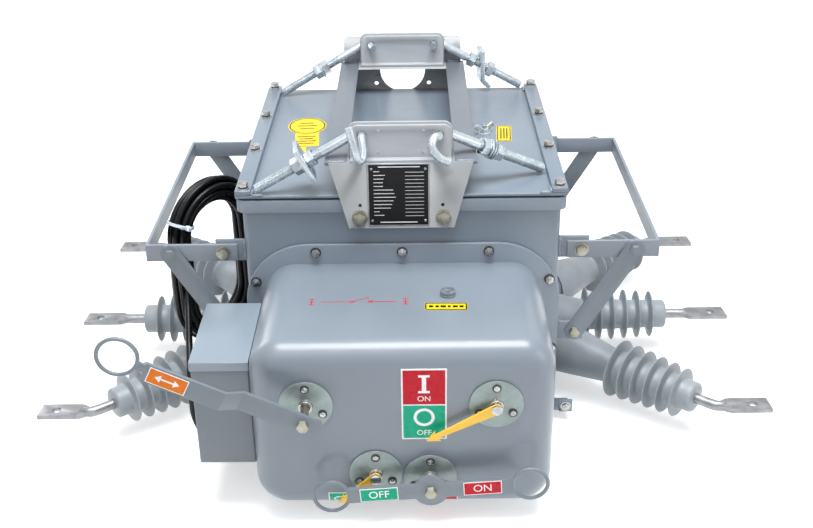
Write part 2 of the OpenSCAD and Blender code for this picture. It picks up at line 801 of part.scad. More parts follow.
// Half outline of one insulator: distance from the axis and distance from the root
function shed_r(i) = (shed_d + (shed_tip_d - shed_d) * i / (shed_n - 1)) / 2;
function neck_r(u) = (insulator_d + (core_d - insulator_d) * u) / 2;
function insulator_outline(root, start) =
    let (neck = neck_r(0.75), end = start + shed_pitch * (shed_n - 1) + insulator_tip) concat(
        [[0, root], [insulator_d / 2, root], [neck, start - 6]],
        [for (i = [0 : shed_n - 1], q = [0 : 4])
            let (s = start + shed_pitch * i, r = neck_r(0.75 + 0.25 * i / (shed_n - 1)))
                q == 0 ? [r, s - 6] : q == 1 ? [shed_r(i) - 2, s - 1.5] : q == 2 ? [shed_r(i), s + 1]
                : q == 3 ? [shed_r(i) - 2, s + 3] : [r, s + 5]],
        [[core_d / 2 - 1, end - 4], [core_d / 2 - 4, end], [0, end]]);

// Length of an insulator from its root to its tip
function insulator_len(b) = (b[1] == 0 ? shed_start_mid : shed_start)
    + shed_pitch * (shed_n - 1) + insulator_tip;

module insulators() {
    for (b = BUSHINGS) at_bushing(b) rotate([0, 90, 0]) rotate_extrude($fn = 64)
        polygon(insulator_outline(root_len(b), b[1] == 0 ? shed_start_mid : shed_start));
}

module insulators_right() {
    color("slategray") insulators();
}

module insulators_left() {
    color("slategray") mirror([1, 0, 0]) insulators();
}

stem_run = 34;

// Position where a terminal's rod meets its blade, for a bushing on the right
function stem_end(b) =
    let (s = insulator_len(b) + (b[1] == 0 ? blade_x - blade_len - boss_x - insulator_len(b) : stem_run))
        [boss_x + s * cos(b[1]), b[0] + s * sin(b[1])];

module terminal(b) {
    s = insulator_len(b);
    e = stem_end(b);
    run = norm(e - [boss_x, b[0]]) - s;
    difference() {
        union() {
            at_bushing(b) rotate([0, 90, 0]) translate([0, 0, s]) cylinder(d = stem_d, h = run);
            translate([e.x, e.y, bushing_z - stem_d / 2 + 2]) cylinder(d = stem_d + 3, h = stem_d - 4);
            translate([e.x, e.y - blade_w / 2, bushing_z - blade_t / 2])
                cube([blade_x - e.x, blade_w, blade_t]);
        }
        translate([blade_x - blade_hole_in, e.y, bushing_z - blade_t]) cylinder(d = blade_hole_d, h = 2 * blade_t);
    }
}

module terminals_right() {
    color("gainsboro") for (b = BUSHINGS) terminal(b);
}

module terminals_left() {
    color("gainsboro") mirror([1, 0, 0]) for (b = BUSHINGS) terminal(b);
}

gland_len = 16;
gland_at = [-cover_w / 2 - box_w / 2 - 1, box_front + box_d * 2 / 3, box_bottom];

module cable_gland() {
    color("dimgray") translate(gland_at) mirror([0, 0, 1]) {
        cylinder(d = 26, h = 6, $fn = 6);
        cylinder(d = 20, h = gland_len);
    }
}

coil_at = [-tank_w / 2 - 75, -97, 234];
// Route of the cable to the coil by hand, as steps from the gland's foot on the box
LEAD_STEPS = [[0, 0, -16.6], [0, 0, -32], [-6, 1, -52], [-26, 4, -68], [-52, 10, -66], [-66, 22, -46],
              [-70, 45, -18], [-70, 73, 8], [-72, 103, 34], [-78, 135, 60], [-88, 169, 88],
              [-99, 197, 118]];
LEAD = [for (p = LEAD_STEPS) gland_at + p];

module cable_lead() {
    lead = curve(LEAD, 3);
    tail_top = coil_at.z - coil_side / 2 - coil_bend_r;
    color("black") {
        tube(lead, [for (p = lead) cable_d / 2], 10);
        translate([coil_at.x, coil_at.y, connector_top]) cylinder(d = cable_d, h = tail_top - connector_top);
    }
}

connector_top = 66;
connector_len = 54;

// The plug at the cable's far end, hanging under the coil
module cable_connector() {
    color("dimgray") translate([coil_at.x, coil_at.y, connector_top - connector_len]) {
        cylinder(d = 34, h = 26);
        translate([0, 0, 25]) cylinder(d = 28, h = 15);
        translate([0, 0, 39]) cylinder(d1 = 24, d2 = 15, h = connector_len - 39, $fn = 32);
    }
}

// The coil's own frame: X runs in the coil's plane, Z is up
module in_coil() {
    translate(coil_at) rotate([0, 0, coil_turn]) children();
}

module cable_coil() {
    color("black") in_coil() {
        for (s = [-1, 1]) translate([s * coil_bend_r, 0, -coil_side / 2]) cylinder(r = bundle_r, h = coil_side);
        for (e = [0, 1]) mirror([0, 0, e]) translate([0, 0, coil_side / 2]) rotate([90, 0, 0])
            rotate_extrude(angle = 180) translate([coil_bend_r, 0]) circle(bundle_r);
    }
}

tie_angle = 24;

module cable_tie() {
    color("white") in_coil() translate([0, 0, coil_side / 2]) rotate([0, tie_angle, 0])
        translate([-coil_bend_r, 0, 0]) difference() {
            cylinder(r = bundle_r + 1.8, h = 6, center = true);
            cylinder(r = bundle_r + 0.3, h = 8, center = true);
        }
}

// The shaft of a lever: from just in front of the cover to the lever's own plane
module lever_shaft(stand, head) {
    rotate([90, 0, 0]) {
        translate([0, 0, 0.4]) cylinder(d = shaft_d, h = stand);
        translate([0, 0, stand]) cylinder(d = 17, h = head, $fn = 6);
    }
}

// Flat parts of levers are drawn in X and Z, with their back face at a distance from the cover
module lever_plate(stand, t) {
    translate([0, -stand - t, 0]) upright(0, t) children();
}

module charging_lever() {
    jog_in = 90;
    jog_run = 24;
    outer = lever_stand + lever_step;
    y = lever_w / 2;
    ring_at = lever_len + lever_ring_d / 2 + 8;
    color("slategray") at_dial(dial_ul, cover_y) rotate([0, lever_park, 0]) {
        rotate([0, -lever_park, 0]) lever_shaft(lever_stand + lever_t - 0.4, 8);
        lever_plate(lever_stand, lever_t) translate([-jog_in, -y]) square([jog_in + 22, lever_w]);
        lever_plate(outer, lever_t) translate([-lever_len, -y])
            square([lever_len - jog_in - jog_run, lever_w]);
        translate([0, 0, -y]) linear_extrude(lever_w) polygon([
            [-jog_in, -lever_stand], [-jog_in - jog_run, -outer],
            [-jog_in - jog_run, -outer - lever_t], [-jog_in, -lever_stand - lever_t]]);
        translate([-ring_at, -outer - lever_t / 2, 6]) rotate([90, 0, 0])
            rotate_extrude() translate([(lever_ring_d - ring_wire) / 2, 0]) circle(d = ring_wire, $fn = 24);
        translate([-lever_len - 10, -outer - lever_t + 0.5, -1]) cube([11, lever_t - 1, 12]);
    }
}

module position_pointer() {
    color("gold") at_dial(dial_ur, cover_y) rotate([0, -pointer_park, 0]) {
        lever_shaft(pointer_stand + pointer_t - 0.4, 3);
        lever_plate(pointer_stand, pointer_t) {
            circle(r = 8);
            polygon([[0, 8], [0, -8], [-pointer_len + 16, -3.5], [-pointer_len + 18, -9],
                     [-pointer_len, 0], [-pointer_len + 18, 9], [-pointer_len + 16, 3.5]]);
        }
    }
}

module operating_handle() {
    ring_in = handle_ring_d / 2 - 2;
    color("slategray") at_dial(dial_lr, cover_y) rotate([0, -handle_park, 0]) {
        lever_shaft(handle_stand + handle_t - 0.4, 8);
        lever_plate(handle_stand, handle_t) {
            circle(d = handle_boss_d);
            difference() {
                square([2 * handle_r, handle_w], center = true);
                for (s = [-1, 1]) translate([s * handle_r, 0]) circle(ring_in);
            }
        }
        for (s = [-1, 1]) translate([s * handle_r, -handle_stand - handle_t / 2, 0]) rotate([90, 0, 0])
            rotate_extrude() translate([(handle_ring_d - ring_wire) / 2, 0]) circle(d = ring_wire, $fn = 24);
    }
}

module charge_pointer() {
    color("gold") at_dial(dial_ll, cover_y) rotate([0, -charge_park, 0]) {
        lever_shaft(pointer_stand + pointer_t - 0.4, 4);
        lever_plate(pointer_stand, pointer_t) {
            circle(r = 8);
            polygon([[0, 8], [0, -8], [-charge_len + 14, -4], [-charge_len + 16, -8],
                     [-charge_len, 0], [-charge_len + 16, 8], [-charge_len + 14, 4]]);
        }
    }
}

tank_body();
tank_rim();
lid_gasket();
lid_plate();
lid_clamp_bars();
lid_bolts();
front_flange();
flange_bolts();
mechanism_cover();
breather_plug();
terminal_box();
terminal_box_lid();
bearing_plates();
bearing_screws();
position_plate();
bracket_front();
bracket_rear();
bracket_rails();
bracket_bolts();
rating_plate();
clamp_front();
clamp_rear();
hook_bolts_front();
hook_bolts_rear();
hook_nuts();
press_plates();
frame_left();
frame_right();
frame_lugs();
struts_left();
struts_right();
bushing_bosses();
insulators_left();
insulators_right();
terminals_left();
terminals_right();
cable_gland();
cable_lead();
cable_coil();
cable_tie();
cable_connector();
charging_lever();
position_pointer();
operating_handle();
charge_pointer();
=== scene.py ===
import json
import math
import bmesh
import bpy
from mathutils import Matrix, Vector


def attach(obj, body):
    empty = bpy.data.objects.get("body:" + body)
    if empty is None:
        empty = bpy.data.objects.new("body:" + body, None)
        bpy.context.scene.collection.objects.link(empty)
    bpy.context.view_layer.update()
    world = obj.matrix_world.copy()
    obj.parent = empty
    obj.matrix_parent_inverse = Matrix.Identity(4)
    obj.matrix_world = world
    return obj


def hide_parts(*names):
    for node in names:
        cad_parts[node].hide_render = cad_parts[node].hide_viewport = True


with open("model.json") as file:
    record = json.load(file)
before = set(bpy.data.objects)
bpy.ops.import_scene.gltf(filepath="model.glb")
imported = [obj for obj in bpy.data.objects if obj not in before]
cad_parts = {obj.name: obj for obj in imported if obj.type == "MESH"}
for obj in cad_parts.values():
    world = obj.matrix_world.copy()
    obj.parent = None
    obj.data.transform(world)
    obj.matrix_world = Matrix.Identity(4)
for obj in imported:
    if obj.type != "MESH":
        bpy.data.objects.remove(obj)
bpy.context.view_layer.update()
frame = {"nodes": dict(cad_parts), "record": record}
nodes = frame["nodes"]
slot_of = {s["node"]: s["material_slot"] for s in frame["record"]["subparts"]}
MM = 0.001


def placed(name, data):
    """A new object, linked to the scene."""
    made = bpy.data.objects.new(name, data)
    bpy.context.scene.collection.objects.link(made)
    return made


# ---------------------------------------------------------------- camera
CAMERA_PLACE = (0.019223, -1.838704, 1.110163)
CAMERA_TURNS = (-0.46438, 27.06235, -0.79825)  # to the right, downwards and rolled, in degrees
FOCAL_LENGTH = 51.285
SENSOR_WIDTH = 36


def place_camera():
    yaw, pitch, roll = (math.radians(a) for a in CAMERA_TURNS)
    forward = Vector((math.sin(yaw) * math.cos(pitch), math.cos(yaw) * math.cos(pitch),
                      -math.sin(pitch)))
    right = Vector((math.cos(yaw), -math.sin(yaw), 0))
    up = right.cross(forward)
    across = math.cos(roll) * right + math.sin(roll) * up
    upward = math.cos(roll) * up - math.sin(roll) * right
    lens = bpy.data.cameras.new("camera")
    lens.lens = FOCAL_LENGTH
    lens.sensor_width = SENSOR_WIDTH
    camera = placed("camera", lens)
    turn = Matrix((across, upward, -forward)).transposed().to_4x4()
    camera.matrix_world = Matrix.Translation(CAMERA_PLACE) @ turn
    bpy.context.scene.camera = camera


place_camera()


# ---------------------------------------------------------------- finishes
def linear(red, green, blue):
    """A colour as seen on a screen, 0 to 255, as the values a shader takes."""
    parts = []
    for c in (red, green, blue):
        c /= 255
        parts.append(c / 12.92 if c <= 0.04045 else ((c + 0.055) / 1.055) ** 2.4)
    return (*parts, 1)


def set_inputs(node, values):
    """Sets a node's inputs by name; _ stands for a space in a name."""
    for socket, value in values.items():
        node.inputs[socket.replace("_", " ")].default_value = value


def shader_node(tree, kind, **values):
    node = tree.nodes.new("ShaderNode" + kind)
    set_inputs(node, values)
    return node


def join(source, out, target, into):
    """Links a node's output to another node's input, each by name or number."""
    source.id_data.links.new(source.outputs[out], target.inputs[into])


def set_stops(ramp, stops):
    """Gives a colour ramp its stops, each a position and a colour."""
    points = ramp.color_ramp.elements
    while len(points) < len(stops):
        points.new(0.5)
    for point, (position, colour) in zip(points, stops):
        point.position = position
        point.color = colour


class Finish:
    """A shader tree with short calls for the nodes these finishes use."""

    def __init__(self, name, roughness, metallic=0.0, **fixed):
        self.material = bpy.data.materials.new(name)
        self.material.use_nodes = True
        self.tree = self.material.node_tree
        self.shader = self.tree.nodes["Principled BSDF"]
        set_inputs(self.shader, {"Roughness": roughness, "Metallic": metallic, **fixed})
        self.where = shader_node(self.tree, "TexCoord").outputs["Object"]

    def link(self, out, into):
        self.tree.links.new(out, into)

    def stretched(self, x, y, z):
        mapping = shader_node(self.tree, "Mapping", Scale=(x, y, z))
        self.link(self.where, mapping.inputs["Vector"])
        return mapping.outputs["Vector"]

    def noise(self, scale, detail, rough, where=None):
        node = shader_node(self.tree, "TexNoise", Scale=scale, Detail=detail, Roughness=rough)
        self.link(where or self.where, node.inputs["Vector"])
        return node.outputs["Fac"]

    def cells(self, scale):
        node = shader_node(self.tree, "TexVoronoi", Scale=scale)
        self.link(self.where, node.inputs["Vector"])
        return node.outputs["Color"]

    def colour(self, value, low, high, least, most):
        """Runs from low to high, as seen on a screen, while the value goes from least to most."""
        ramp = shader_node(self.tree, "ValToRGB")
        set_stops(ramp, ((least, linear(*low)), (most, linear(*high))))
        self.link(value, ramp.inputs["Fac"])
        self.link(ramp.outputs["Color"], self.shader.inputs["Base Color"])

    def gloss(self, value, low, high):
        """Roughness runs from low to high over the middle of the value's range."""
        node = shader_node(self.tree, "MapRange", From_Min=0.3, From_Max=0.7, To_Min=low,
                           To_Max=high)
        self.link(value, node.inputs["Value"])
        self.link(node.outputs["Result"], self.shader.inputs["Roughness"])

    def relief(self, height, distance_mm, strength, under=None):
        bump = shader_node(self.tree, "Bump", Distance=distance_mm * MM, Strength=strength)
        self.link(height, bump.inputs["Height"])
        if under is not None:
            self.link(under, bump.inputs["Normal"])
        self.link(bump.outputs["Normal"], self.shader.inputs["Normal"])
        return bump.outputs["Normal"]


def sprayed_paint(name, low, high, gloss=(0.34, 0.46), peel=0.05, coat=0.25):
    """Powder coat: an even colour that drifts a little, with orange peel and a few dull patches."""
    f = Finish(name, 0.4, Coat_Weight=coat, Coat_Roughness=0.22)
    f.colour(f.noise(3.5, 4, 0.55), low, high, 0.3, 0.72)
    f.gloss(f.noise(14, 5, 0.6), *gloss)
    wave = f.relief(f.noise(38, 2, 0.4), peel * 3, 0.5)
    f.relief(f.noise(620, 2, 0.5), peel, 0.6, wave)
    return f.material


def plated(name, low, high, gloss, metallic, cell=260, streak=None):
    """Zinc or tin plate: faint crystals, dull clouds and fine scratches."""
    f = Finish(name, 0.3, metallic)
    f.colour(f.noise(45, 5, 0.62), low, high, 0.32, 0.68)
    f.gloss(f.noise(90, 6, 0.65), *gloss)
    where = f.stretched(*streak) if streak else None
    grain = f.relief(f.noise(500, 4, 0.6, where), 0.03, 0.5)
    f.relief(f.cells(cell), 0.02, 0.35, grain)
    return f.material


def moulded(name, low, high, gloss, grain=900, depth=0.03, **fixed):
    """Moulded plastic or rubber with a fine skin."""
    f = Finish(name, 0.5, **fixed)
    f.colour(f.noise(22, 4, 0.6), low, high, 0.3, 0.7)
    f.gloss(f.noise(60, 5, 0.6), *gloss)
    f.relief(f.noise(grain, 3, 0.55), depth, 0.6)
    return f.material


def printed(name, low, high, gloss=(0.22, 0.34)):
    """Ink under a clear film: nearly even, with a faint mottle."""
    f = Finish(name, 0.3, Specular_IOR_Level=0.22)
    f.colour(f.noise(120, 3, 0.5), low, high, 0.3, 0.7)
    f.gloss(f.noise(40, 4, 0.5), *gloss)
    f.relief(f.noise(240, 2, 0.4), 0.02, 0.4)
    return f.material


tank_paint = sprayed_paint("tank_paint", (126, 137, 149), (136, 147, 158))
lid_paint = sprayed_paint("lid_paint", (111, 123, 135), (120, 132, 144), (0.3, 0.42))
cover_paint = sprayed_paint("cover_paint", (119, 129, 139), (127, 137, 147), (0.28, 0.38),
                            0.035, 0.35)
frame_paint = sprayed_paint("frame_paint", (124, 133, 142), (134, 143, 152), (0.38, 0.5), 0.06)
# The terminal box is in two copies of the cover's paint: the body's copy is darker, as painted
# shade, and the lid's copy is lighter, as painted light falling on its top.
shaded_box_paint = sprayed_paint("shaded_box_paint", (101, 109, 116), (105, 113, 120), (0.32, 0.38), 0.03, 0.3)
lit_box_lid_paint = sprayed_paint("lit_box_lid_paint", (129, 141, 152), (134, 146, 157), (0.3, 0.36),
                              0.03, 0.35)
bracket_paint = sprayed_paint("bracket_paint", (135, 137, 139), (145, 147, 149), (0.36, 0.48), 0.06)
clamp_paint = sprayed_paint("clamp_paint", (161, 164, 169), (173, 176, 180), (0.28, 0.4), 0.06)
rail_paint = sprayed_paint("rail_paint", (99, 105, 113), (108, 114, 122), (0.36, 0.48), 0.06)
lever_paint = sprayed_paint("lever_paint", (107, 116, 124), (117, 126, 134), (0.28, 0.4))
yellow_paint = sprayed_paint("yellow_paint", (240, 184, 40), (252, 200, 56), (0.3, 0.42), 0.03)
disc_zinc = plated("disc_zinc", (122, 135, 133), (144, 156, 153), (0.32, 0.48), 0.55, 320)
bright_zinc = plated("bright_zinc", (168, 178, 185), (200, 208, 214), (0.18, 0.32), 0.6)
stainless = plated("stainless", (138, 138, 136), (204, 204, 202), (0.12, 0.26), 0.8, 500)
# near-black washers under nuts and screw heads: their dark colour is painted shadow round each head
shadow_dark_steel = plated("shadow_dark_steel", (48, 50, 52), (72, 74, 76), (0.3, 0.45), 0.6, 400)
bronze_zinc = plated("yellow_zinc", (122, 121, 110), (164, 161, 146), (0.24, 0.4), 0.85, 400)
tin_plate = plated("tin_plate", (124, 126, 129), (161, 162, 164), (0.28, 0.48), 0.7, 180, (1, 6, 1))
gasket_rubber = moulded("gasket_rubber", (14, 15, 17), (26, 27, 30), (0.6, 0.75))
silicone = moulded("silicone", (138, 145, 150), (151, 158, 163), (0.32, 0.46), 700)
cable_black = moulded("cable_black", (4, 5, 7), (9, 10, 13), (0.24, 0.36), 500,
                      Specular_IOR_Level=0.25)
plug_black = moulded("plug_black", (22, 23, 25), (36, 37, 40), (0.4, 0.55))
nylon_white = moulded("nylon_white", (212, 226, 240), (232, 242, 250), (0.3, 0.42), 800, 0.02)
white_ink = printed("white_ink", (236, 236, 236), (248, 248, 248))
red_ink = printed("red_ink", (186, 8, 30), (198, 14, 38))
green_ink = printed("green_ink", (8, 160, 124), (16, 172, 134))
orange_ink = printed("orange_ink", (222, 112, 14), (232, 124, 24))
yellow_ink = printed("yellow_ink", (222, 190, 8), (230, 200, 16))
black_ink = printed("black_ink", (7, 7, 9), (14, 14, 16), (0.3, 0.45))
# thin black discs drawn where small holes are: their black is painted shade inside the holes
hole_shade_black = moulded("hole_shade_black", (8, 8, 9), (16, 16, 18), (0.8, 0.9))

# finishes of the slots whose pieces keep one finish all over
finish_of = {
    "tank_paint": tank_paint,
    "lid_paint": lid_paint,
    "bracket_paint": bracket_paint,
    "bright_zinc": bright_zinc,
    "gasket_rubber": gasket_rubber,
}


# ---------------------------------------------------------------- shapes, in millimetres
INK = 0.12  # how far raised lettering stands up
FLAT, SHARP = math.radians(0.6), math.radians(28)  # angles between faces


def scale(shape, x, y, z):
    bmesh.ops.scale(shape, vec=(x, y, z), verts=shape.verts)


def move(shape, x, y, z, verts=None):
    bmesh.ops.translate(shape, vec=(x, y, z), verts=verts or shape.verts)


def round_edges(shape, edges, size, steps=2, **more):
    bmesh.ops.bevel(shape, geom=edges, offset=size, segments=steps, profile=0.5,
                    affect="EDGES", material=-1, **more)


def block(x, y, z, edge=0.0, steps=2):
    """A box centred on the origin, its edges rounded by edge."""
    shape = bmesh.new()
    bmesh.ops.create_cube(shape, size=1)
    scale(shape, x, y, z)
    if edge:
        round_edges(shape, shape.edges, edge, steps)
    return shape


def disc(radius, height, edge=0.0, sides=40):
    """A round or polygonal disc from Z 0 up to its height, its upper rim chamfered."""
    shape = bmesh.new()
    bmesh.ops.create_cone(shape, cap_ends=True, segments=sides, radius1=radius, radius2=radius,
                          depth=height)
    move(shape, 0, 0, height / 2)
    if edge:
        rim = [e for e in shape.edges if all(v.co.z > height - 1e-4 for v in e.verts)]
        round_edges(shape, rim, edge)
    return shape


def turned(profile, sides=48):
    """A solid of revolution about Z from points of radius and height."""
    shape = bmesh.new()
    points = [shape.verts.new((r, 0, z)) for r, z in profile]
    line = [shape.edges.new(pair) for pair in zip(points, points[1:])]
    bmesh.ops.spin(shape, geom=points + line, cent=(0, 0, 0), axis=(0, 0, 1), dvec=(0, 0, 0),
                   angle=2 * math.pi, steps=sides, use_merge=True, use_duplicate=False)
    bmesh.ops.remove_doubles(shape, verts=shape.verts, dist=0.002)
    bmesh.ops.recalc_face_normals(shape, faces=shape.faces)
    return shape


def plate(outline, thickness, edge=0.0, holes=()):
    """A flat plate from Z 0 up to its thickness, with round holes (x, y, radius) in it."""
    shape = bmesh.new()
    corners = [shape.verts.new((x, y, 0)) for x, y in outline]
    rim = [shape.edges.new((a, b)) for a, b in zip(corners, corners[1:] + corners[:1])]
    for x, y, radius in holes:
        ring = bmesh.ops.create_circle(shape, segments=24, radius=radius)["verts"]
        move(shape, x, y, 0, ring)
        rim += list({e for v in ring for e in v.link_edges})
    bmesh.ops.triangle_fill(shape, use_beauty=True, use_dissolve=False, edges=rim)
    made = bmesh.ops.extrude_face_region(shape, geom=list(shape.faces))
    top = [v for v in made["geom"] if isinstance(v, bmesh.types.BMVert)]
    move(shape, 0, 0, thickness, top)
    bmesh.ops.recalc_face_normals(shape, faces=shape.faces)
    if edge:
        bmesh.ops.dissolve_limit(shape, angle_limit=0.01, verts=shape.verts, edges=shape.edges)
        round_edges(shape, [e for e in shape.edges
                            if len(e.link_faces) == 2 and e.calc_face_angle() > 1], edge)
    return shape


def smooth_route(points, steps):
    """A smooth curve through the points."""
    made = []
    for k in range(len(points) - 1):
        a, b = points[max(k - 1, 0)], points[k]
        c, d = points[k + 1], points[min(k + 2, len(points) - 1)]
        for s in range(steps):
            t = s / steps
            made.append(0.5 * (2 * b + (c - a) * t + (2 * a - 5 * b + 4 * c - d) * t * t
                               + (3 * b - a - 3 * c + d) * t ** 3))
    return made + [points[-1]]


def bar_curve(name, points, thickness, rings, widths=None):
    """A curve for a round bar along the points; widths scale its radius at each of them."""
    curve = bpy.data.curves.new(name, "CURVE")
    curve.dimensions = "3D"
    curve.bevel_depth = thickness / 2
    curve.bevel_resolution = rings
    curve.use_fill_caps = True
    spline = curve.splines.new("POLY")
    spline.points.add(len(points) - 1)
    for k, place in enumerate(points):
        spline.points[k].co = (*place, 1)
        spline.points[k].radius = widths[k] if widths else 1
    spline.use_smooth = True
    return curve


def swept(points, thickness, rings, widths):
    return from_curve(bar_curve("line", points, thickness, rings, widths))


def letters(words, height):
    """Plain raised lettering, centred, standing up from Z 0."""
    text = bpy.data.curves.new("letters", "FONT")
    text.body = words
    text.size = height
    text.extrude = INK / 2
    text.align_x = "CENTER"
    text.align_y = "CENTER"
    shape = from_curve(text)
    move(shape, 0, 0, INK / 2)
    return shape


def from_curve(curve):
    """The mesh of a curve or of lettering."""
    holder = placed("holder", curve)
    depsgraph = bpy.context.evaluated_depsgraph_get()
    mesh = bpy.data.meshes.new_from_object(holder.evaluated_get(depsgraph))
    shape = bmesh.new()
    shape.from_mesh(mesh)
    bpy.data.objects.remove(holder)
    bpy.data.meshes.remove(mesh)
    bpy.data.curves.remove(curve)
    bmesh.ops.remove_doubles(shape, verts=shape.verts, dist=0.001)
    return shape


def put(piece, shape, place=Matrix(), finish=0):
    """Adds a shape to a piece, in one of the piece's finishes, or with its own for None."""
    if finish is not None:
        for face in shape.faces:
            face.material_index = finish
    bmesh.ops.transform(shape, matrix=place, verts=shape.verts)
    holder = bpy.data.meshes.new("holder")
    shape.to_mesh(holder)
    shape.free()
    piece.from_mesh(holder)
    bpy.data.meshes.remove(holder)


def at(x, y, z):
    return Matrix.Translation((x, y, z))


def spin(angle, axis="Z"):
    return Matrix.Rotation(angle, 4, axis)


def facing(x, y, z, direction):
    """A place whose Z points along the direction."""
    return at(x, y, z) @ Vector(direction).to_track_quat("Z", "Y").to_matrix().to_4x4()


def front(x, y, z):
    """A place on a face that looks towards -Y: X to the right, Y up, Z towards the viewer."""
    return at(x, y, z) @ spin(math.pi / 2, "X")


def finished(piece, name, finishes, body="recloser", slot=None, stands_for=None, crease=35):
    """Turns a piece into a Blender object in metres that rides on its body."""
    scale(piece, MM, MM, MM)
    mesh = bpy.data.meshes.new(name)
    piece.to_mesh(mesh)
    piece.free()
    for f in finishes:
        mesh.materials.append(f)
    mesh.polygons.foreach_set("use_smooth", [True] * len(mesh.polygons))
    mesh.set_sharp_from_angle(angle=math.radians(crease))
    made = placed(name, mesh)
    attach(made, body)
    if stands_for:
        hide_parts(stands_for)
    return made


def making(name, finishes, *rest, **more):
    """Makes a piece out of what the function below it puts in, and leaves it under that name."""
    def make(fill):
        piece = bmesh.new()
        fill(piece)
        return finished(piece, name, finishes, *rest, **more)
    return make


def rounded(node, edge, finishes=None, body="recloser", choose=None, steps=2, only=None):
    """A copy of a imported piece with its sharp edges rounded, which stands in for it.
    choose gives the finish of a face from its middle, and only says which edges count."""
    shape = bmesh.new()
    shape.from_mesh(nodes[node].data)
    scale(shape, 1000, 1000, 1000)
    bmesh.ops.remove_doubles(shape, verts=shape.verts, dist=0.01)
    bmesh.ops.dissolve_limit(shape, angle_limit=FLAT, verts=shape.verts, edges=shape.edges)
    sharp = [e for e in shape.edges
             if len(e.link_faces) == 2 and e.calc_face_angle() > SHARP
             and (only is None or only((e.verts[0].co + e.verts[1].co) / 2))]
    round_edges(shape, sharp, edge, steps, clamp_overlap=True)
    for face in shape.faces:
        face.material_index = choose(face.calc_center_median()) if choose else 0
    made = finishes or [finish_of[slot_of[node]]]
    return finished(shape, node + "_dressed", made, body, slot_of[node], node)


# ---------------------------------------------------------------- control cable
CABLE_DIAMETER = 11
GLAND_END = Vector((-256, -357, 71.4))
PLUG = Vector((-317, -97, 12))
COIL_MIDDLE = Vector((-317, -97, 234))
COIL_TURN = math.radians(50)
COIL_BEND, COIL_SIDE = 70, 116  # radius of its two round ends and length of its straight runs
ALONG_COIL = Vector((math.cos(COIL_TURN), math.sin(COIL_TURN), 0))
ACROSS_COIL = Vector((-math.sin(COIL_TURN), math.cos(COIL_TURN), 0))
INNER_RING, RING_STEP = 5.2, 10.2  # the bundle's inner turns, and how much further out the rest lie
POINTS_PER_TURN = 60
COIL_POINTS = 580


def bent(first, leaving, last, arriving, steps):
    """A curve that leaves one point and arrives at another along given steps."""
    a, b, c, d = first, first + leaving, last - arriving, last
    made = []
    for k in range(steps + 1):
        t = k / steps
        made.append(a * (1 - t) ** 3 + b * 3 * t * (1 - t) ** 2 + c * 3 * t * t * (1 - t)
                    + d * t ** 3)
    return made


def on_loop(share):
    """Middle of the coil's bundle and its outward direction, once round from the outer side."""
    half = math.pi * COIL_BEND
    run = (share % 1) * 2 * (half + COIL_SIDE)
    legs = ((COIL_SIDE / 2, 0), (half, 1), (COIL_SIDE, 2), (half, 3), (COIL_SIDE / 2, 4))
    for length, leg in legs:
        if run <= length:
            break
        run -= length
    if leg == 0:
        x, z, nx, nz = -COIL_BEND, run, -1, 0
    elif leg == 2:
        x, z, nx, nz = COIL_BEND, COIL_SIDE / 2 - run, 1, 0
    elif leg == 4:
        x, z, nx, nz = -COIL_BEND, run - COIL_SIDE / 2, -1, 0
    else:
        angle = run / COIL_BEND
        turn = math.pi - angle if leg == 1 else -angle
        nx, nz = math.cos(turn), math.sin(turn)
        x, z = COIL_BEND * nx, COIL_BEND * nz + (COIL_SIDE / 2 if leg == 1 else -COIL_SIDE / 2)
    outward = ALONG_COIL * nx + Vector((0, 0, nz))
    return COIL_MIDDLE + ALONG_COIL * x + Vector((0, 0, z)), outward


def strand(turns):
    """Where the cable runs in the bundle: two turns inside, then eight around them."""
    middle, outward = on_loop(turns)
    tied = math.exp(-((((turns - 0.115 + 0.5) % 1) - 0.5) / 0.1) ** 2)
    out = min(max((turns - 1.8) / 0.4, 0), 1)
    out = out * out * (3 - 2 * out)
    radius = INNER_RING + (RING_STEP - 0.7 * tied) * out
    angle = math.pi * min(turns, 2) + math.pi / 4 * max(turns - 2, 0) - 2.9
    wander = math.sin(2 * math.pi * turns * 1.37 + 1.1) + math.sin(2 * math.pi * turns * 0.61)
    drift = math.sin(2 * math.pi * turns * 1.13 + 0.4)
    loose = out * (1 - tied) * min(max((9.55 - turns) / 0.3, 0), 1)
    radius += 0.8 * wander * loose
    angle += 0.09 * drift * loose
    return middle + outward * radius * math.cos(angle) + ACROSS_COIL * radius * math.sin(angle)


def control_cable():
    """Down from the gland, round a low loop, up into the coil, and down to the plug."""
    under = GLAND_END - Vector((0, 0, 5))
    across = Vector((-0.8, 0.6, 0))
    radius = 51
    loop = [under + across * radius * (1 - math.cos(a)) - Vector((0, 0, radius * math.sin(a)))
            for a in (math.pi * k / 24 for k in range(25))]
    coil = [strand(0.03 + k / POINTS_PER_TURN) for k in range(COIL_POINTS)]
    up = Vector((0, 0, 90))
    route = [GLAND_END, *loop, *bent(loop[-1], up, coil[0], up, 24)[1:], *coil[1:]]
    heading = (coil[-1] - coil[-2]).normalized()
    plug_end = PLUG + Vector((0, 0, 48))
    route += bent(coil[-1], heading * 30, plug_end, Vector((0, 0, -30)), 16)[1:]
    curve = bar_curve("control_cable", [place * MM for place in route], CABLE_DIAMETER * MM, 4)
    curve.materials.append(cable_black)
    cable = placed("control_cable", curve)
    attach(cable, "recloser")
    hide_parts("cable_lead", "cable_coil")
    length = sum((b - a).length for a, b in zip(route, route[1:])) * MM
    return cable, length


cable, cable_length = control_cable()


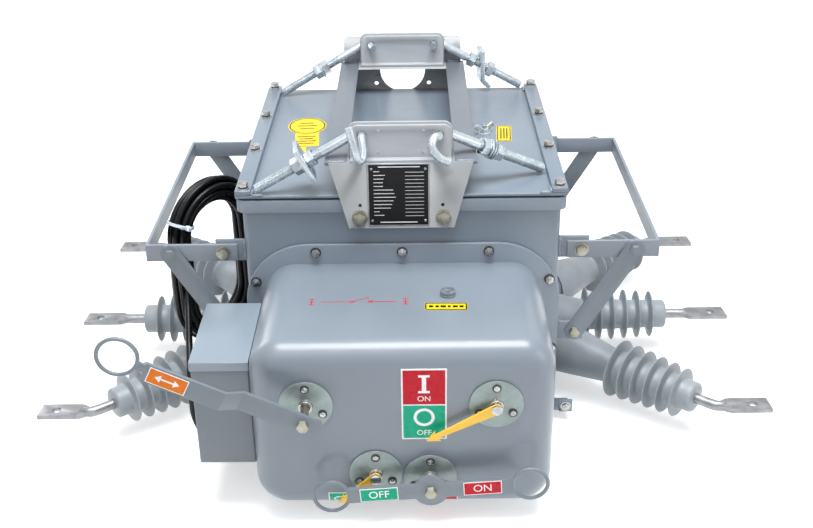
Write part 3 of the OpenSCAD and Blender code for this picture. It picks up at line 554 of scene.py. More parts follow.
@making("plug", [plug_black, stainless], stands_for="cable_connector")
def plug(piece):
    """A round plug with a knurled ring, a clamp and a ribbed boot, and its bright pin shell."""
    put(piece, turned([(0, 54), (7, 54), (8, 52), (8.4, 48), (11.4, 44), (11.8, 39), (13.6, 38),
                       (14, 36), (14, 27), (13.2, 26.4), (16, 26), (17, 25), (17, 15), (16, 14),
                       (15, 14), (15, 2), (14, 0), (11.5, 0), (11.5, 6), (0, 6)]), at(*PLUG))
    for k in range(36):
        turn = spin(math.tau * k / 36)
        put(piece, block(1, 1.4, 10, 0.3, 1), at(*PLUG) @ turn @ at(16.7, 0, 20))
    for k in range(5):
        turn = spin(math.tau * k / 5)
        put(piece, disc(1.4, 6, 0.5, 16), at(*PLUG) @ turn @ at(6.5, 0, 1.4), 1)


@making("tie", [nylon_white], stands_for="cable_tie")
def tie(piece):
    """A narrow nylon band round the bundle with its lock and its cut end."""
    turn = spin(COIL_TURN)
    end = at(*COIL_MIDDLE) @ turn @ at(0, 0, COIL_SIDE / 2)
    place = end @ spin(math.radians(24), "Y") @ at(-COIL_BEND, 0, 0)
    radius = 21.2
    put(piece, turned([(radius, -2.6), (radius + 1.3, -2.4), (radius + 1.5, 0), (radius + 1.3, 2.4),
                       (radius, 2.6), (radius - 0.2, 0), (radius, -2.6)], 56), place)
    put(piece, block(7, 9, 8, 1, 2), place @ at(-4, -radius - 3, 0))
    put(piece, block(16, 1.2, 4.6, 0.4, 1), place @ at(-13, -radius - 3.4, 0) @ spin(0.15))


# ---------------------------------------------------------------- places, in millimetres
LID_TOP = 414
CLAMP_BAR_TOP = 422
FLANGE_FRONT = -246
BRACKET_FACE = 252
COVER_FRONT = -500
COVER_BOTTOM = 26
COVER_TOP = 298
COVER_EDGE = 34
CHARGING, POSITION, CHARGE, OPERATING = (-134, 209), (130, 208), (-39.3, 93), (38.4, 85.2)
DIALS = [CHARGING, POSITION, CHARGE, OPERATING]


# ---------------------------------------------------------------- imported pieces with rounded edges
def only_outside(edge_x, edge_y):
    return lambda p: abs(p.x) > edge_x or abs(p.y) > edge_y


def on_dial_bolt(p):
    """1 for the faces of the bolt in the middle of a dial, and 0 for its plate."""
    return int(p.y < COVER_FRONT - 3.3
               and min(math.hypot(p.x - x, p.z - z) for x, z in DIALS) < 10.5)


def strut_finish(p):
    """The lower bolts are zinc; the upper ones are painted with the frame."""
    return int((p.y < -244.05 or p.y > 206.05) and p.z < 250)


def near_axis(dial, radius, back, face):
    """Picks finish 1 for the faces of a lever's shaft and bolt, and 0 for its plate."""
    x, z = dial
    return lambda p: int(math.hypot(p.x - x, p.z - z) < radius
                         and not face - 0.05 <= p.y <= back + 0.05)


rounded("tank_rim", 6, steps=4, only=only_outside(246, 244))
rounded("lid_plate", 1.4)
rounded("lid_clamp_bars", 1.2)
rounded("front_flange", 1.6)
# body in the darker copy of the paint, as painted shade; lid in the lighter copy, as painted light
# on its top
rounded("terminal_box", 2.4, [shaded_box_paint])
rounded("terminal_box_lid", 0.7, [lit_box_lid_paint])
rounded("bearing_plates", 0.7, [disc_zinc, stainless], choose=on_dial_bolt)
rounded("bracket_front", 0.9)
rounded("bracket_rear", 0.9)
rounded("bracket_rails", 0.9, [rail_paint])
for name in ("clamp_front", "clamp_rear"):
    rounded(name, 0.9, [clamp_paint])
rounded("press_plates", 1.2)
for name in ("frame_left", "frame_right", "frame_lugs"):
    rounded(name, 0.9, [frame_paint])
for name in ("struts_left", "struts_right"):
    rounded(name, 0.8, [lever_paint, bronze_zinc], choose=strut_finish)
rounded("bushing_bosses", 2.5, steps=3)
for name, dial, back, face in (("charging_lever", CHARGING, -544, -549),
                               ("operating_handle", OPERATING, -530, -535)):
    rounded(name, 0.8, [lever_paint, bronze_zinc], name, near_axis(dial, 9.4, back, face))
for name, dial in (("position_pointer", POSITION), ("charge_pointer", CHARGE)):
    rounded(name, 0.5, [yellow_paint, stainless], name, near_axis(dial, 9.2, -513, -515.5))


# ---------------------------------------------------------------- tank and lid
def hex_bolt(piece, place, head, height, washer=0.0, washer_height=0.0, stud=0.0, finishes=(0, 0)):
    """A hexagon head on a washer, with a stud end if it is a nut; across corners is head."""
    level = 0.0
    if washer:
        put(piece, disc(washer / 2, washer_height, 0.3), place, finishes[1])
        level = washer_height
    tall = height - level - (stud * 0.35 if stud else 0)
    put(piece, disc(head / 2, tall, head * 0.045, 6), place @ at(0, 0, level), finishes[0])
    put(piece, disc(head * 0.41, 0.5, 0.3, 32), place @ at(0, 0, level + tall - 0.1), finishes[0])
    if stud:
        end = disc(stud / 2, stud * 0.35, 0.6, 24)
        put(piece, end, place @ at(0, 0, level + tall), finishes[0])


@making("lid_fasteners", [stainless, shadow_dark_steel], stands_for="lid_bolts")
def lid_fasteners(piece):
    """Washer, spring washer and hexagon bolt at each place on the clamp bars; the spring washer is
    near-black, as a painted shadow line under the head.
    """
    for x in (-238, 238):
        for k in range(4):
            place = at(x, -236 + k * 472 / 3, CLAMP_BAR_TOP)
            put(piece, disc(10, 1.8, 0.4), place)
            put(piece, disc(7.6, 2.2, 0.2), place @ at(0, 0, 1.8), 1)
            hex_bolt(piece, place @ at(0, 0, 4) @ spin(0.4 * k + x), 16, 6)


@making("flange_fasteners", [stainless, shadow_dark_steel], stands_for="flange_bolts")
def flange_fasteners(piece):
    """Nuts on welded studs, with washers, round the flange plate; the washers are near-black, as a
    painted shadow ring round each nut.
    """
    places = [(0, 318)]
    for side in (-1, 1):
        places += [(side * 133, 318), (side * 228.1, 268), (side * 236, 144.5), (side * 236, 40)]
    for k, (x, z) in enumerate(places):
        place = front(x, FLANGE_FRONT, z) @ spin(0.7 * k)
        hex_bolt(piece, place, 14, 7.4, 16.5, 1.6, 6.5, (0, 1))


@making("pressed_cover", [cover_paint], stands_for="mechanism_cover")
def pressed_cover(piece):
    """A deep-drawn cover: wide corner radii, and a rounded edge all round its front."""
    cover = block(428, 254, 272)
    move(cover, 0, -373, 162)
    corners = [e for e in cover.edges if abs(e.verts[0].co.y - e.verts[1].co.y) > 200]
    round_edges(cover, corners, 48, 12)
    rim = [e for e in cover.edges if all(v.co.y < COVER_FRONT + 0.1 for v in e.verts)]
    round_edges(cover, rim, COVER_EDGE, 10)
    put(piece, cover)


@making("breather", [cover_paint, shaded_box_paint], stands_for="breather_plug")
def breather(piece):
    """A round vent: a cup with a rolled rim and a dished floor."""
    place = at(67, -350.14, COVER_TOP)
    put(piece, turned([(0, 4.6), (8, 4.6), (8.6, 5), (9.2, 8.2), (9.8, 9), (10.6, 8.9), (11.2, 8.2),
                       (11.4, 6.8), (10.9, 3), (11.5, 2.4), (11.5, 0)]), place)
    put(piece, disc(7.6, 0.5, 0.2), place @ at(0, 0, 4.6), 1)
    put(piece, disc(3, 1.6, 0.5, 6), place @ at(0, 0, 5.1), 1)


# ---------------------------------------------------------------- dials, levers and pointers
@making("dial_screws", [stainless, shadow_dark_steel], stands_for="bearing_screws")
def dial_screws(piece):
    """Three screws on dark washers round each dial; the washers' dark colour is a painted shadow
    ring round each head.
    """
    for k, (x, z) in enumerate(DIALS):
        for angle in (90, 210, 330):
            a = math.radians(angle)
            place = front(x + 27 * math.cos(a), COVER_FRONT - 3, z + 27 * math.sin(a))
            hex_bolt(piece, place @ spin(angle + k), 9.6, 4, 12.8, 1.4, 4, (0, 1))


def bar(piece, place, x, y, z, width, height, thick=0.06, finish=1):
    """A flat printed bar, its middle at x, y and z on a place."""
    put(piece, block(width, height, thick), place @ at(x, y, z), finish)


def label(piece, place, width, height, ink, border=1.3, thick=0.5):
    """A printed plate: a white edge and a coloured field, lying on its place."""
    put(piece, block(width, height, thick, 0.15, 1), place @ at(0, 0, thick / 2))
    bar(piece, place, 0, 0, thick + 0.07, width - 2 * border, height - 2 * border, 0.14, ink)


@making("lever_label", [white_ink, orange_ink], "charging_lever", "lever_paint")
def lever_label(piece):
    """The orange plate on the charging lever, with a plain double arrow."""
    x, z = CHARGING
    place = front(x, -567, z) @ spin(math.radians(-26)) @ at(-190, 0, 0)
    label(piece, place, 54, 24, 1)
    arrow = [(-17, 0), (-9, -5.5), (-9, -1.2), (9, -1.2), (9, -5.5), (17, 0), (9, 5.5), (9, 1.2),
             (-9, 1.2), (-9, 5.5)]
    put(piece, plate(arrow, INK), place @ at(0, 0, 0.64))


@making("handle_labels", [white_ink, red_ink, green_ink], "operating_handle", "lever_paint")
def handle_labels(piece):
    """The red and the green plate on the operating handle."""
    x, z = OPERATING
    place = front(x, -535, z) @ spin(math.radians(4))
    for x, ink, words in ((73, 1, "ON"), (-73, 2, "OFF")):
        label(piece, place @ at(x, 0, 0), 54, 22, ink)
        put(piece, letters(words, 17), place @ at(x, -0.4, 0.64))


def wrapped(piece, flat, x, start, middle):
    """Lays a flat print over the cover's rounded lower edge; its top edge, middle above the
    print's own centre, starts a given way down the curve."""
    for k in range(-8, 9):
        bmesh.ops.bisect_plane(flat, geom=[*flat.verts, *flat.edges, *flat.faces],
                               plane_co=(0, 2.5 * k, 0), plane_no=(0, 1, 0))
    for vert in flat.verts:
        across, up, out = vert.co
        turn = (start + middle - up) / COVER_EDGE
        reach = COVER_EDGE + out
        vert.co = (x + across, COVER_FRONT + COVER_EDGE - reach * math.cos(turn),
                   COVER_BOTTOM + COVER_EDGE - reach * math.sin(turn))
    put(piece, flat, finish=None)


@making("cover_labels", [white_ink, red_ink, green_ink], slot="indicator_plate")
def cover_labels(piece):
    """The two small plates low on the cover, bent over its edge under the handle's ends."""
    for x, start, width, ink in ((-93, 3, 32, 2), (50, 13.4, 56, 1)):
        flat = bmesh.new()
        label(flat, Matrix(), width, 34, ink, 1.4, 0.4)
        if ink == 2:
            put(flat, letters("O", 24), at(0, 0, 0.54))
        else:
            put(flat, block(3.6, 20, INK), at(0, 0, 0.6))
        wrapped(piece, flat, x, start, 17)


@making("position_plate_print", [white_ink, red_ink, green_ink], stands_for="position_plate")
def position_plate(piece):
    """The plate behind the position pointer: red with I over green with O."""
    place = front(30, COVER_FRONT, 208)
    put(piece, block(63, 116, 1, 0.25, 1), place @ at(0, 0, 0.5))
    bar(piece, place, 0, 28.2, 1.05, 58.4, 55.2, 0.14)
    bar(piece, place, 0, -28.6, 1.05, 58.4, 54, 0.14, 2)
    serif = [(-8, 18.9), (8, 18.9), (8, 22.5), (3, 22.5), (3, 44.5), (8, 44.5), (8, 48.1),
             (-8, 48.1), (-8, 44.5), (-3, 44.5), (-3, 22.5), (-8, 22.5)]
    put(piece, plate(serif, INK), place @ at(0, 0, 1.1))
    put(piece, letters("ON", 12), place @ at(0, 9.5, 1.1))
    ring = turned([(10.4, 0), (10.6, 0.2), (14.6, 0.2), (14.8, 0), (10.4, 0)])
    put(piece, ring, place @ at(0, -21, 1.06))
    put(piece, letters("OFF", 12), place @ at(0, -47, 1.1))


# ---------------------------------------------------------------- top bracket and hook bolts
@making("bracket_fasteners", [bronze_zinc, bright_zinc], stands_for="bracket_bolts")
def bracket_fasteners(piece):
    """Hexagon bolts on wide washers, and their spacers to the tank."""
    for side in (-1, 1):
        for x in (-63, 63):
            out = Vector((0, side, 0))
            hex_bolt(piece, facing(x, side * BRACKET_FACE, 379, out), 20, 7, 24, 1.6)
            put(piece, disc(6, 8, 0, 32), facing(x, side * 240, 379, out), 1)


@making("rating_plate_print", [tin_plate, black_ink, white_ink], stands_for="rating_plate")
def rating_plate(piece):
    """A blackened plate with a bright edge, ruled lines in place of words, and four rivets."""
    place = front(-4, -BRACKET_FACE, 415.5)
    put(piece, block(92, 101, 0.8, 0.2, 1), place @ at(0, 0, 0.4))
    bar(piece, place, 0, 0, 0.83, 88.6, 97.6, 0.1)
    for k, width in enumerate((9, 17, 15, 14, 14, 29, 31, 33, 29, 27, 25, 8, 15)):
        y = 38 - k * 5.9
        bar(piece, place, -37 + width / 2, y, 0.9, width, 1.1, finish=2)
        bar(piece, place, 24, y - 1.2, 0.9, 28, 0.7, finish=2)
    bar(piece, place, 1, 45.4, 0.9, 62, 1.6, finish=2)
    bar(piece, place, 0, -44.4, 0.9, 56, 1.6, finish=2)
    for x in (-40, 40):
        for y in (-42, 42):
            rivet = turned([(0, 1.5), (1.4, 1.2), (2.2, 0.3), (2.3, 0)], 20)
            put(piece, rivet, place @ at(x, y, 0.85))


CLAMP_FRONT = -240
THREAD_DEPTH = 1.1
NUT_WIDTH, NUT_HEIGHT = 27, 13
# each rod's hole in the clamp plate, the side it leaves to, and its far end on the clamp bar
HOOKS = {
    "front_left": (Vector((-57, -236, 505)), -1, Vector((-219, -242, CLAMP_BAR_TOP))),
    "front_right": (Vector((57, -236, 505)), 1, Vector((219, -169, CLAMP_BAR_TOP))),
    "rear_left": (Vector((-57, 230, 505)), -1, Vector((-219, 212, CLAMP_BAR_TOP))),
    "rear_right": (Vector((57, 230, 505)), 1, Vector((219, 238, CLAMP_BAR_TOP))),
}
# how each rod's tail runs on from its hole
TAILS = {
    "front_left": [(1, -17, -6), (2.6, -25, -18), (0.5, -31, -26.5), (-4, -36, -25.5),
                   (-6.5, -38, -17), (-11, -37, 2), (-17, -34, 24)],
    "front_right": [(-6, -16, 2), (-10, -22, -2), (-11, -27, -10), (-5, -31, -20), (4, -33, -27),
                    (15, -33, -32)],
    "rear_left": [(5, -22, -2)],
    "rear_right": [(-1, -18, 0)],
}


def rod_of(name):
    """Where a rod leaves the back of its clamp plate, and where it ends."""
    hole, side, far = HOOKS[name]
    return hole + Vector((side * 14, 12.8, -4)), far


def thread(length, radius, pitch=2.4, shank=0.0):
    """A rod with the ridges of a metric thread beyond its plain shank."""
    core = radius - THREAD_DEPTH
    profile = [(0, 0), (radius, 0), (radius, shank)]
    z = shank + 1
    while z < length - 2:
        profile += [(radius, z), (radius, z + pitch * 0.2), (core, z + pitch * 0.55),
                    (core, z + pitch * 0.7)]
        z += pitch
    profile += [(core - 0.8, length), (0, length)]
    return turned(profile, 28)


def hook_rods(end):
    """Two threaded rods whose ends bend through the clamp plate and hook back."""
    piece = bmesh.new()
    for key in (end + "_left", end + "_right"):
        hole = HOOKS[key][0]
        near, far = rod_of(key)
        line = (far - near).normalized()
        hook = [hole + Vector(v) for v in ((0, 10.8, 0), (0, 0, 0), (0, -10, 0), *TAILS[key])]
        route = smooth_route([near + line * 26, near, *hook], 6)
        widths = [1.258 - 0.258 * min(max(k - 4, 0) / 7, 1) for k in range(len(route))]
        put(piece, swept(route, 12.4, 5, widths))
        start = near + line * 25
        put(piece, thread((far - start).length, 7.8, shank=28), facing(*start, line))
    return finished(piece, "hook_rods_" + end, [bright_zinc], stands_for="hook_bolts_" + end,
                    crease=40)


for end in ("front", "rear"):
    hook_rods(end)


def on_rod(name, share):
    """A place part of the way along a rod, with Z along it."""
    near, far = rod_of(name)
    return facing(*(near + (far - near) * share), far - near)


def nut(piece, place, turn):
    flats = disc(NUT_WIDTH / 2, NUT_HEIGHT - 0.6, 1.1, 6)
    put(piece, flats, place @ spin(turn))
    put(piece, disc(NUT_WIDTH * 0.42, NUT_HEIGHT, 0.5, 36), place)
    put(piece, disc(9.4, NUT_HEIGHT + 0.6, 0.5, 30), place)


@making("rod_nuts", [bright_zinc], stands_for="hook_nuts")
def rod_nuts(piece):
    """Nuts, flat washers and sprung washers along the four rods."""
    pack = on_rod("front_left", 0.47)
    put(piece, disc(15.5, 3, 0.5, 44), pack @ at(0, 0, 7))
    nut(piece, pack @ at(0, 0, 10), 0.3)
    nut(piece, pack @ at(0, 0, -13), 0.7)
    pack = on_rod("front_right", 0.34)
    nut(piece, pack, 0.2)
    for k in range(3):
        tilt = spin(0.05 * (k - 1), "X")
        put(piece, disc(15, 2.6, 0.7, 44), pack @ at(0, 0, 13 + 4 * k) @ tilt)
    nut(piece, pack @ at(0, 0, 25), 0.5)
    pack = on_rod("rear_left", 0.44)
    nut(piece, pack, 0.1)
    put(piece, disc(15.5, 3, 0.5, 44), pack @ at(0, 0, 13))
    nut(piece, pack @ at(0, 0, 16), 0.6)
    pack = on_rod("rear_right", 0.5)
    nut(piece, pack @ at(0, 0, -25.7), 0.4)
    nut(piece, pack @ at(0, 0, 12.7), 0.9)


# ---------------------------------------------------------------- bushings
BUSHING_HEIGHT = 70
BUSHING_ROOT = 250
BUSHINGS = [(-103, -40), (-10, 0), (83, 40)]  # place along the tank, and fan in degrees
SIDES = ((-1, "left"), (1, "right"))
SHEDS, SHED_PITCH = 6, 23


def bushing_place(side, y, fan):
    """Z runs out along the bushing from its root on the tank."""
    turn = spin(math.radians(fan if side > 0 else 180 - fan))
    return at(side * BUSHING_ROOT, y, BUSHING_HEIGHT) @ turn @ spin(math.pi / 2, "Y")


def neck(share):
    return 38 - 13 * share


def insulator_profile(root, start):
    """Flared root, six thin sheds with filleted roots, and a rounded tip."""
    narrow = neck(0.75)
    wide = 45 if root > 20 else 41
    flare = [Vector((wide, root, 0)), Vector((wide - 0.6, root + 5, 0)),
             Vector((narrow + (wide - narrow) * 0.58, root + (start - root) * 0.42, 0)),
             Vector((narrow + 1.6, start - 16, 0)), Vector((narrow, start - 8, 0))]
    points = [(0, root)] + [(p.x, p.y) for p in smooth_route(flare, 5)]
    for k in range(SHEDS):
        s = start + SHED_PITCH * k
        r, out = neck(0.75 + 0.05 * k), (98 - 3.2 * k) / 2
        points += [(r, s - 6.5), (r + 0.5, s - 5), (r + 2, s - 3.7), (r + 6, s - 2.8),
                   (out - 6, s - 1.7), (out - 2, s - 0.9), (out - 0.5, s - 0.2), (out, s + 0.7),
                   (out - 0.5, s + 1.6), (out - 2, s + 2.1), (r + 6, s + 2.6), (r + 2, s + 3.2),
                   (r + 0.5, s + 4.4), (r, s + 6)]
    end = start + (SHEDS - 1) * SHED_PITCH + 28
    core = 25
    points += [(core, end - 12), (core, end - 4.5), (core - 0.7, end - 2.2),
               (core - 2.2, end - 0.7), (core - 4.4, end), (0, end)]
    return points


def insulators(side, node):
    piece = bmesh.new()
    for y, fan in BUSHINGS:
        root, start = (22, 140) if fan else (12, 76)
        put(piece, turned(insulator_profile(root, start), 64), bushing_place(side, y, fan))
    return finished(piece, node + "_cast", [silicone], stands_for=node, crease=60)


for side, name in SIDES:
    insulators(side, "insulators_" + name)


def terminals(side, node):
    """A round stem bent level, flattened into a blade with a slanted end and a bolt hole."""
    piece = bmesh.new()
    for y, fan in BUSHINGS:
        length = 283 if fan else 219
        reach = length + 34 if fan else 492 - BUSHING_ROOT
        heading = Vector((math.cos(math.radians(fan)), math.sin(math.radians(fan)), 0))
        root = Vector((BUSHING_ROOT, y, BUSHING_HEIGHT))
        end = root + heading * reach
        route = [root + heading * (length - 5), end - heading * 12, end + Vector((3, 0, 0)),
                 end + Vector((16, 0, 0))]
        route = smooth_route(route, 6)
        widths = [1 if k < 16 else 1 - 0.05 * (k - 15) for k in range(len(route))]
        stem = swept(route, 17, 5, widths)
        bmesh.ops.transform(stem, matrix=Matrix.Diagonal((side, 1, 1, 1)), verts=stem.verts)
        bmesh.ops.recalc_face_normals(stem, faces=stem.faces)
        put(piece, stem)
        x = end.x
        outline = [(x + 1, -8), (x + 8, -9.5), (x + 19, -16), (x + 24, -17), (580, -17), (577, 17),
                   (x + 24, 17), (x + 19, 16), (x + 8, 9.5), (x + 1, 8)]
        outline = [(side * u, v) for u, v in outline[::side]]
        blade = plate(outline, 7, 0.9, [(side * 552, 0, 6.5)])
        put(piece, blade, at(0, end.y, BUSHING_HEIGHT - 3.5))
    return finished(piece, node + "_forged", [tin_plate], stands_for=node, crease=40)


for side, name in SIDES:
    terminals(side, "terminals_" + name)


# ---------------------------------------------------------------- side frames
@making("frame_fasteners", [bronze_zinc], slot="bolt_steel")
def frame_fasteners(piece):
    """Bolts that hold the frames' arms to the lugs on the tank."""
    for x in (-276, 276):
        for place in (front(x, -240, 316), facing(x, 202, 316, (0, 1, 0))):
            hex_bolt(piece, place, 19, 7, 23, 1.6)


@making("gland", [plug_black], stands_for="cable_gland")
def cable_gland(piece):
    """A hexagon nut, a ribbed body and a domed clamp over the cable."""
    place = at(-256, -357, 88) @ spin(math.pi, "X")
    put(piece, disc(13, 6, 0.8, 6), place)
    put(piece, turned([(0, 16), (6, 16), (7.4, 15.4), (9, 13.4), (9.6, 11), (10, 10.5), (10, 6.5),
                       (9.4, 6), (0, 6)]), place)
    for k in range(16):
        turn = spin(math.tau * k / 16)
        put(piece, block(0.9, 1.3, 3.4, 0.3, 1), place @ turn @ at(9.9, 0, 8.6))


# ---------------------------------------------------------------- small plates and trim
def outlined(piece, place, width, height, line, inset):
    """A yellow sticker with a thin black frame just inside its edge."""
    bar(piece, place, 0, 0, 0.12, width, height, 0.24, 0)
    across, up = width / 2 - inset, height / 2 - inset
    for side in (-1, 1):
        bar(piece, place, 0, side * up, 0.27, 2 * across, line)
        bar(piece, place, side * across, 0, 0.27, line, 2 * up)


@making("stickers", [yellow_ink, black_ink], slot="indicator_plate")
def stickers(piece):
    """Plain yellow stickers: an oval with a tab and a plate on the lid, a plate on the cover."""
    place = at(-164, 52, LID_TOP) @ spin(math.radians(4))
    oval = disc(1, 0.25, 0, 56)
    scale(oval, 33, 40, 1)
    put(piece, oval, place)
    bar(piece, place, 0, -66, 0.12, 40, 62, 0.24, 0)
    bar(piece, place, -10, -110, 0.12, 17, 30, 0.24, 0)
    ring = turned([(29, 0.2), (29, 0.34), (31, 0.34), (31, 0.2), (29, 0.2)], 56)
    scale(ring, 1, 1.22, 1)
    put(piece, ring, place, 1)
    for y, width in ((13, 24), (0, 34), (-13, 24)):
        bar(piece, place, 0, y, 0.27, width, 3.2)
    for k, width in enumerate((30, 24, 32, 26)):
        bar(piece, place, -1, -52 - 10.5 * k, 0.27, width, 3.2)
    place = at(172, 5.4, LID_TOP) @ spin(math.radians(-3.8))
    outlined(piece, place, 25, 71, 1.6, 2)
    for x in (-5, 0, 5):
        bar(piece, place, x, 0, 0.27, 2, 50)
    place = at(63.5, -384.5, COVER_TOP) @ spin(math.radians(-1))
    outlined(piece, place, 61, 21, 2, 1.4)
    for k, width in enumerate((6, 5, 8, 4, 7, 6)):
        bar(piece, place, -21.5 + 8.7 * k, 0, 0.27, width, 6)


@making("circuit_symbol", [red_ink], slot="indicator_plate")
def circuit_symbol(piece):
    """A plain switch symbol in red on the cover: two lines, a contact and an open blade.
    Bars that cross lie at different heights."""
    place = at(-63, -368, COVER_TOP)
    bar(piece, place, -34, 0, 0.07, 42, 1.5, 0.14, 0)
    bar(piece, place, 36, 0, 0.07, 38, 1.5, 0.14, 0)
    ring = turned([(1.8, 0), (1.8, 0.14), (3.4, 0.14), (3.4, 0), (1.8, 0)], 24)
    put(piece, ring, place @ at(-10, 0, 0))
    for x, y, lift, turn, width, height in (
            (3.5, 7, 0.07, 0.5, 27, 1.5), (17, 0, 0.1, 0.78, 9, 1.4), (17, 0, 0.13, -0.78, 9, 1.4)):
        put(piece, block(width, height, 0.14), place @ at(x, y, lift) @ spin(turn))
    for side in (-1, 1):
        for k in range(3):
            bar(piece, place, side * 68, -8 + 8 * k, 0.07, 9, 1.4, 0.14, 0)
        bar(piece, place, side * 68, 0, 0.1, 1.4, 19, 0.14, 0)


@making("lid_stud", [bright_zinc], slot="bright_zinc")
def lid_stud(piece):
    """A stud with a washer and a wing nut on the lid."""
    place = at(138.5, 8, LID_TOP)
    put(piece, disc(11, 2, 0.4), place)
    put(piece, disc(8.5, 8, 1, 6), place @ at(0, 0, 2))
    put(piece, thread(17, 4, 1.4), place)
    for side in (-1, 1):
        wing = place @ spin(0.5) @ at(side * 11, 0, 11)
        put(piece, block(15, 4, 9, 1.6, 3), wing @ spin(side * -0.5, "Y"))


@making("earth_lug", [tank_paint, stainless], slot="tank_paint")
def earth_lug(piece):
    """The small earthing bracket at the tank's lower right edge, with its bolt."""
    put(piece, block(5, 30, 46, 0.8), at(244.5, -224, 41))
    put(piece, block(30, 30, 5, 0.8), at(258, -224, 20.5))
    hex_bolt(piece, front(266, -239, 26), 14, 7, 18, 1.4, 6, (1, 1))
    put(piece, block(22, 5, 22, 0.8), at(266, -236.5, 26))


def weld_bead(piece, first, last, radius):
    """A low rippled bead between two points."""
    a, b = Vector(first), Vector(last)
    count = max(6, int((b - a).length / 2.4))
    widths = [0.82 + 0.18 * math.cos(k * 2.1) + 0.08 * math.sin(k * 0.7) for k in range(count + 1)]
    widths[0] = widths[-1] = 0.45
    put(piece, swept([a + (b - a) * k / count for k in range(count + 1)], 2 * radius, 2, widths))


@making("weld_beads", [tank_paint], slot="tank_paint", crease=80)
def weld_beads(piece):
    """Beads at the frame lugs, at the corners by the clamp bars, and at the bracket's feet."""
    for side in (-1, 1):
        x = side * 243
        for y in (-235, 197):
            weld_bead(piece, (x, y, 301), (x, y, 335), 3)
            weld_bead(piece, (x, y, 157), (x, y, 187), 3)
        weld_bead(piece, (side * 224, -247, 415), (side * 208, -247, 415), 3.4)
        for y in (-1, 1):
            weld_bead(piece, (side * 225, y * 246, 415.5), (side * 225, y * 226, 415.5), 3)
        weld_bead(piece, (side * 104, -241, 464), (side * 86, -241, 464), 3)
        for y in (-246.5, 246.5):
            weld_bead(piece, (side * 82, y, 467), (side * 108, y, 467), 2.6)


@making("bracket_dots", [hole_shade_black, clamp_paint], slot="bracket_paint")
def bracket_dots(piece):
    """Small drilled holes above the bracket's bolts, drawn as thin black discs whose black is
    painted shade inside the holes, and dimples in the front clamp plate.
    """
    for x in (-62, 62):
        for place in (front(x, -BRACKET_FACE, 399), facing(x, BRACKET_FACE, 399, (0, 1, 0))):
            put(piece, disc(2.6, 0.12, 0, 20), place)
    for x in (-33, 33):
        for z in (479, 512):
            put(piece, turned([(0, 0.9), (1.8, 0.6), (3, 0)], 20), front(x, CLAMP_FRONT, z), 1)


# ---------------------------------------------------------------- studio
SKY = [(0.0, 0.5), (0.46, 0.42), (0.52, 0.2), (0.6, 0.5), (0.72, 0.9), (1.0, 0.75)]  # height, level
SKY_TINT = (0.93, 0.965, 1)
SKY_POWER = 0.51
FLOOR_HALF = 3200
FLOOR_GLOW = 0.5
AIM = Vector((0, -0.05, 0.2))
LAMPS = [("key", (-0.7, -1.8, 2.4), (1.4, 1.4), 10, (1.0, 0.99, 0.97)),
         ("top", (0.1, -0.5, 2.9), (2.0, 1.4), 112, (0.97, 0.985, 1.0)),
         ("side", (2.4, -1.4, 1.2), (1.0, 1.6), 12, (0.97, 0.98, 1.0)),
         ("rear", (-2.5, 2.2, 1.5), (1.4, 1.4), 24, (0.97, 0.98, 1.0))]


def seen_directly(tree):
    """1 for what the eye, a mirror or glass sees, and 0 for what only lights a surface."""
    rays = shader_node(tree, "LightPath")
    total = rays.outputs["Is Camera Ray"]
    for kind in ("Is Glossy Ray", "Is Transmission Ray"):
        add = shader_node(tree, "Math")
        add.operation = "ADD"
        add.use_clamp = True
        tree.links.new(total, add.inputs[0])
        join(rays, kind, add, 1)
        total = add.outputs["Value"]
    return total


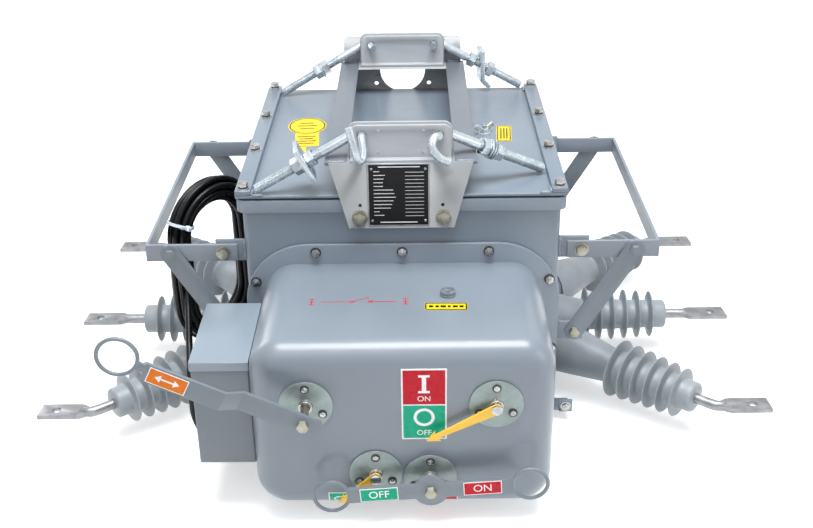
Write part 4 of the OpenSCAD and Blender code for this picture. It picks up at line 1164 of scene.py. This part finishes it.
def sky():
    """A soft sky that lights the part, and plain white wherever it is seen."""
    world = bpy.data.worlds.new("studio")
    bpy.context.scene.world = world
    world.use_nodes = True
    tree = world.node_tree
    tree.nodes.clear()
    heading = shader_node(tree, "TexCoord")
    parts = shader_node(tree, "SeparateXYZ")
    height = shader_node(tree, "MapRange", From_Min=-1)
    ramp = shader_node(tree, "ValToRGB")
    set_stops(ramp, [(place, (*(level * tint for tint in SKY_TINT), 1)) for place, level in SKY])
    light = shader_node(tree, "Background", Strength=SKY_POWER)
    seen = shader_node(tree, "Background", Color=(1, 1, 1, 1), Strength=1)
    mix = shader_node(tree, "MixShader")
    out = shader_node(tree, "OutputWorld")
    join(heading, "Generated", parts, "Vector")
    join(parts, "Z", height, "Value")
    join(height, "Result", ramp, "Fac")
    join(ramp, "Color", light, "Color")
    tree.links.new(seen_directly(tree), mix.inputs["Fac"])
    join(light, "Background", mix, 1)
    join(seen, "Background", mix, 2)
    join(mix, "Shader", out, "Surface")


def lamps():
    for name, place, size, power, tint in LAMPS:
        lamp = bpy.data.lights.new(name, "AREA")
        lamp.shape = "RECTANGLE"
        lamp.size, lamp.size_y = size
        lamp.energy = power
        lamp.color = tint
        holder = placed(name, lamp)
        holder.location = place
        holder.rotation_euler = (AIM - Vector(place)).to_track_quat("-Z", "Y").to_euler()


def floor():
    """A pale matt floor that looks brighter than the light it throws back."""
    shape = bmesh.new()
    bmesh.ops.create_grid(shape, x_segments=8, y_segments=8, size=FLOOR_HALF)
    scale(shape, MM, MM, MM)
    mesh = bpy.data.meshes.new("floor")
    shape.to_mesh(mesh)
    shape.free()
    pale = bpy.data.materials.new("pale_floor")
    pale.use_nodes = True
    tree = pale.node_tree
    tree.nodes.clear()
    matt = shader_node(tree, "BsdfDiffuse", Color=(0.86, 0.86, 0.86, 1))
    glow = shader_node(tree, "Emission")
    level = shader_node(tree, "Math")
    level.operation = "MULTIPLY"
    level.inputs[1].default_value = FLOOR_GLOW
    both = shader_node(tree, "AddShader")
    out = shader_node(tree, "OutputMaterial")
    tree.links.new(seen_directly(tree), level.inputs[0])
    join(level, "Value", glow, "Strength")
    join(matt, "BSDF", both, 0)
    join(glow, "Emission", both, 1)
    join(both, "Shader", out, "Surface")
    mesh.materials.append(pale)
    placed("floor", mesh)


sky()
lamps()
floor()
bpy.context.scene.view_settings.view_transform = "Standard"

for name, node in nodes.items():
    if not node.hide_render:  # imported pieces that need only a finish
        node.data.materials.clear()
        node.data.materials.append(finish_of[slot_of[name]])
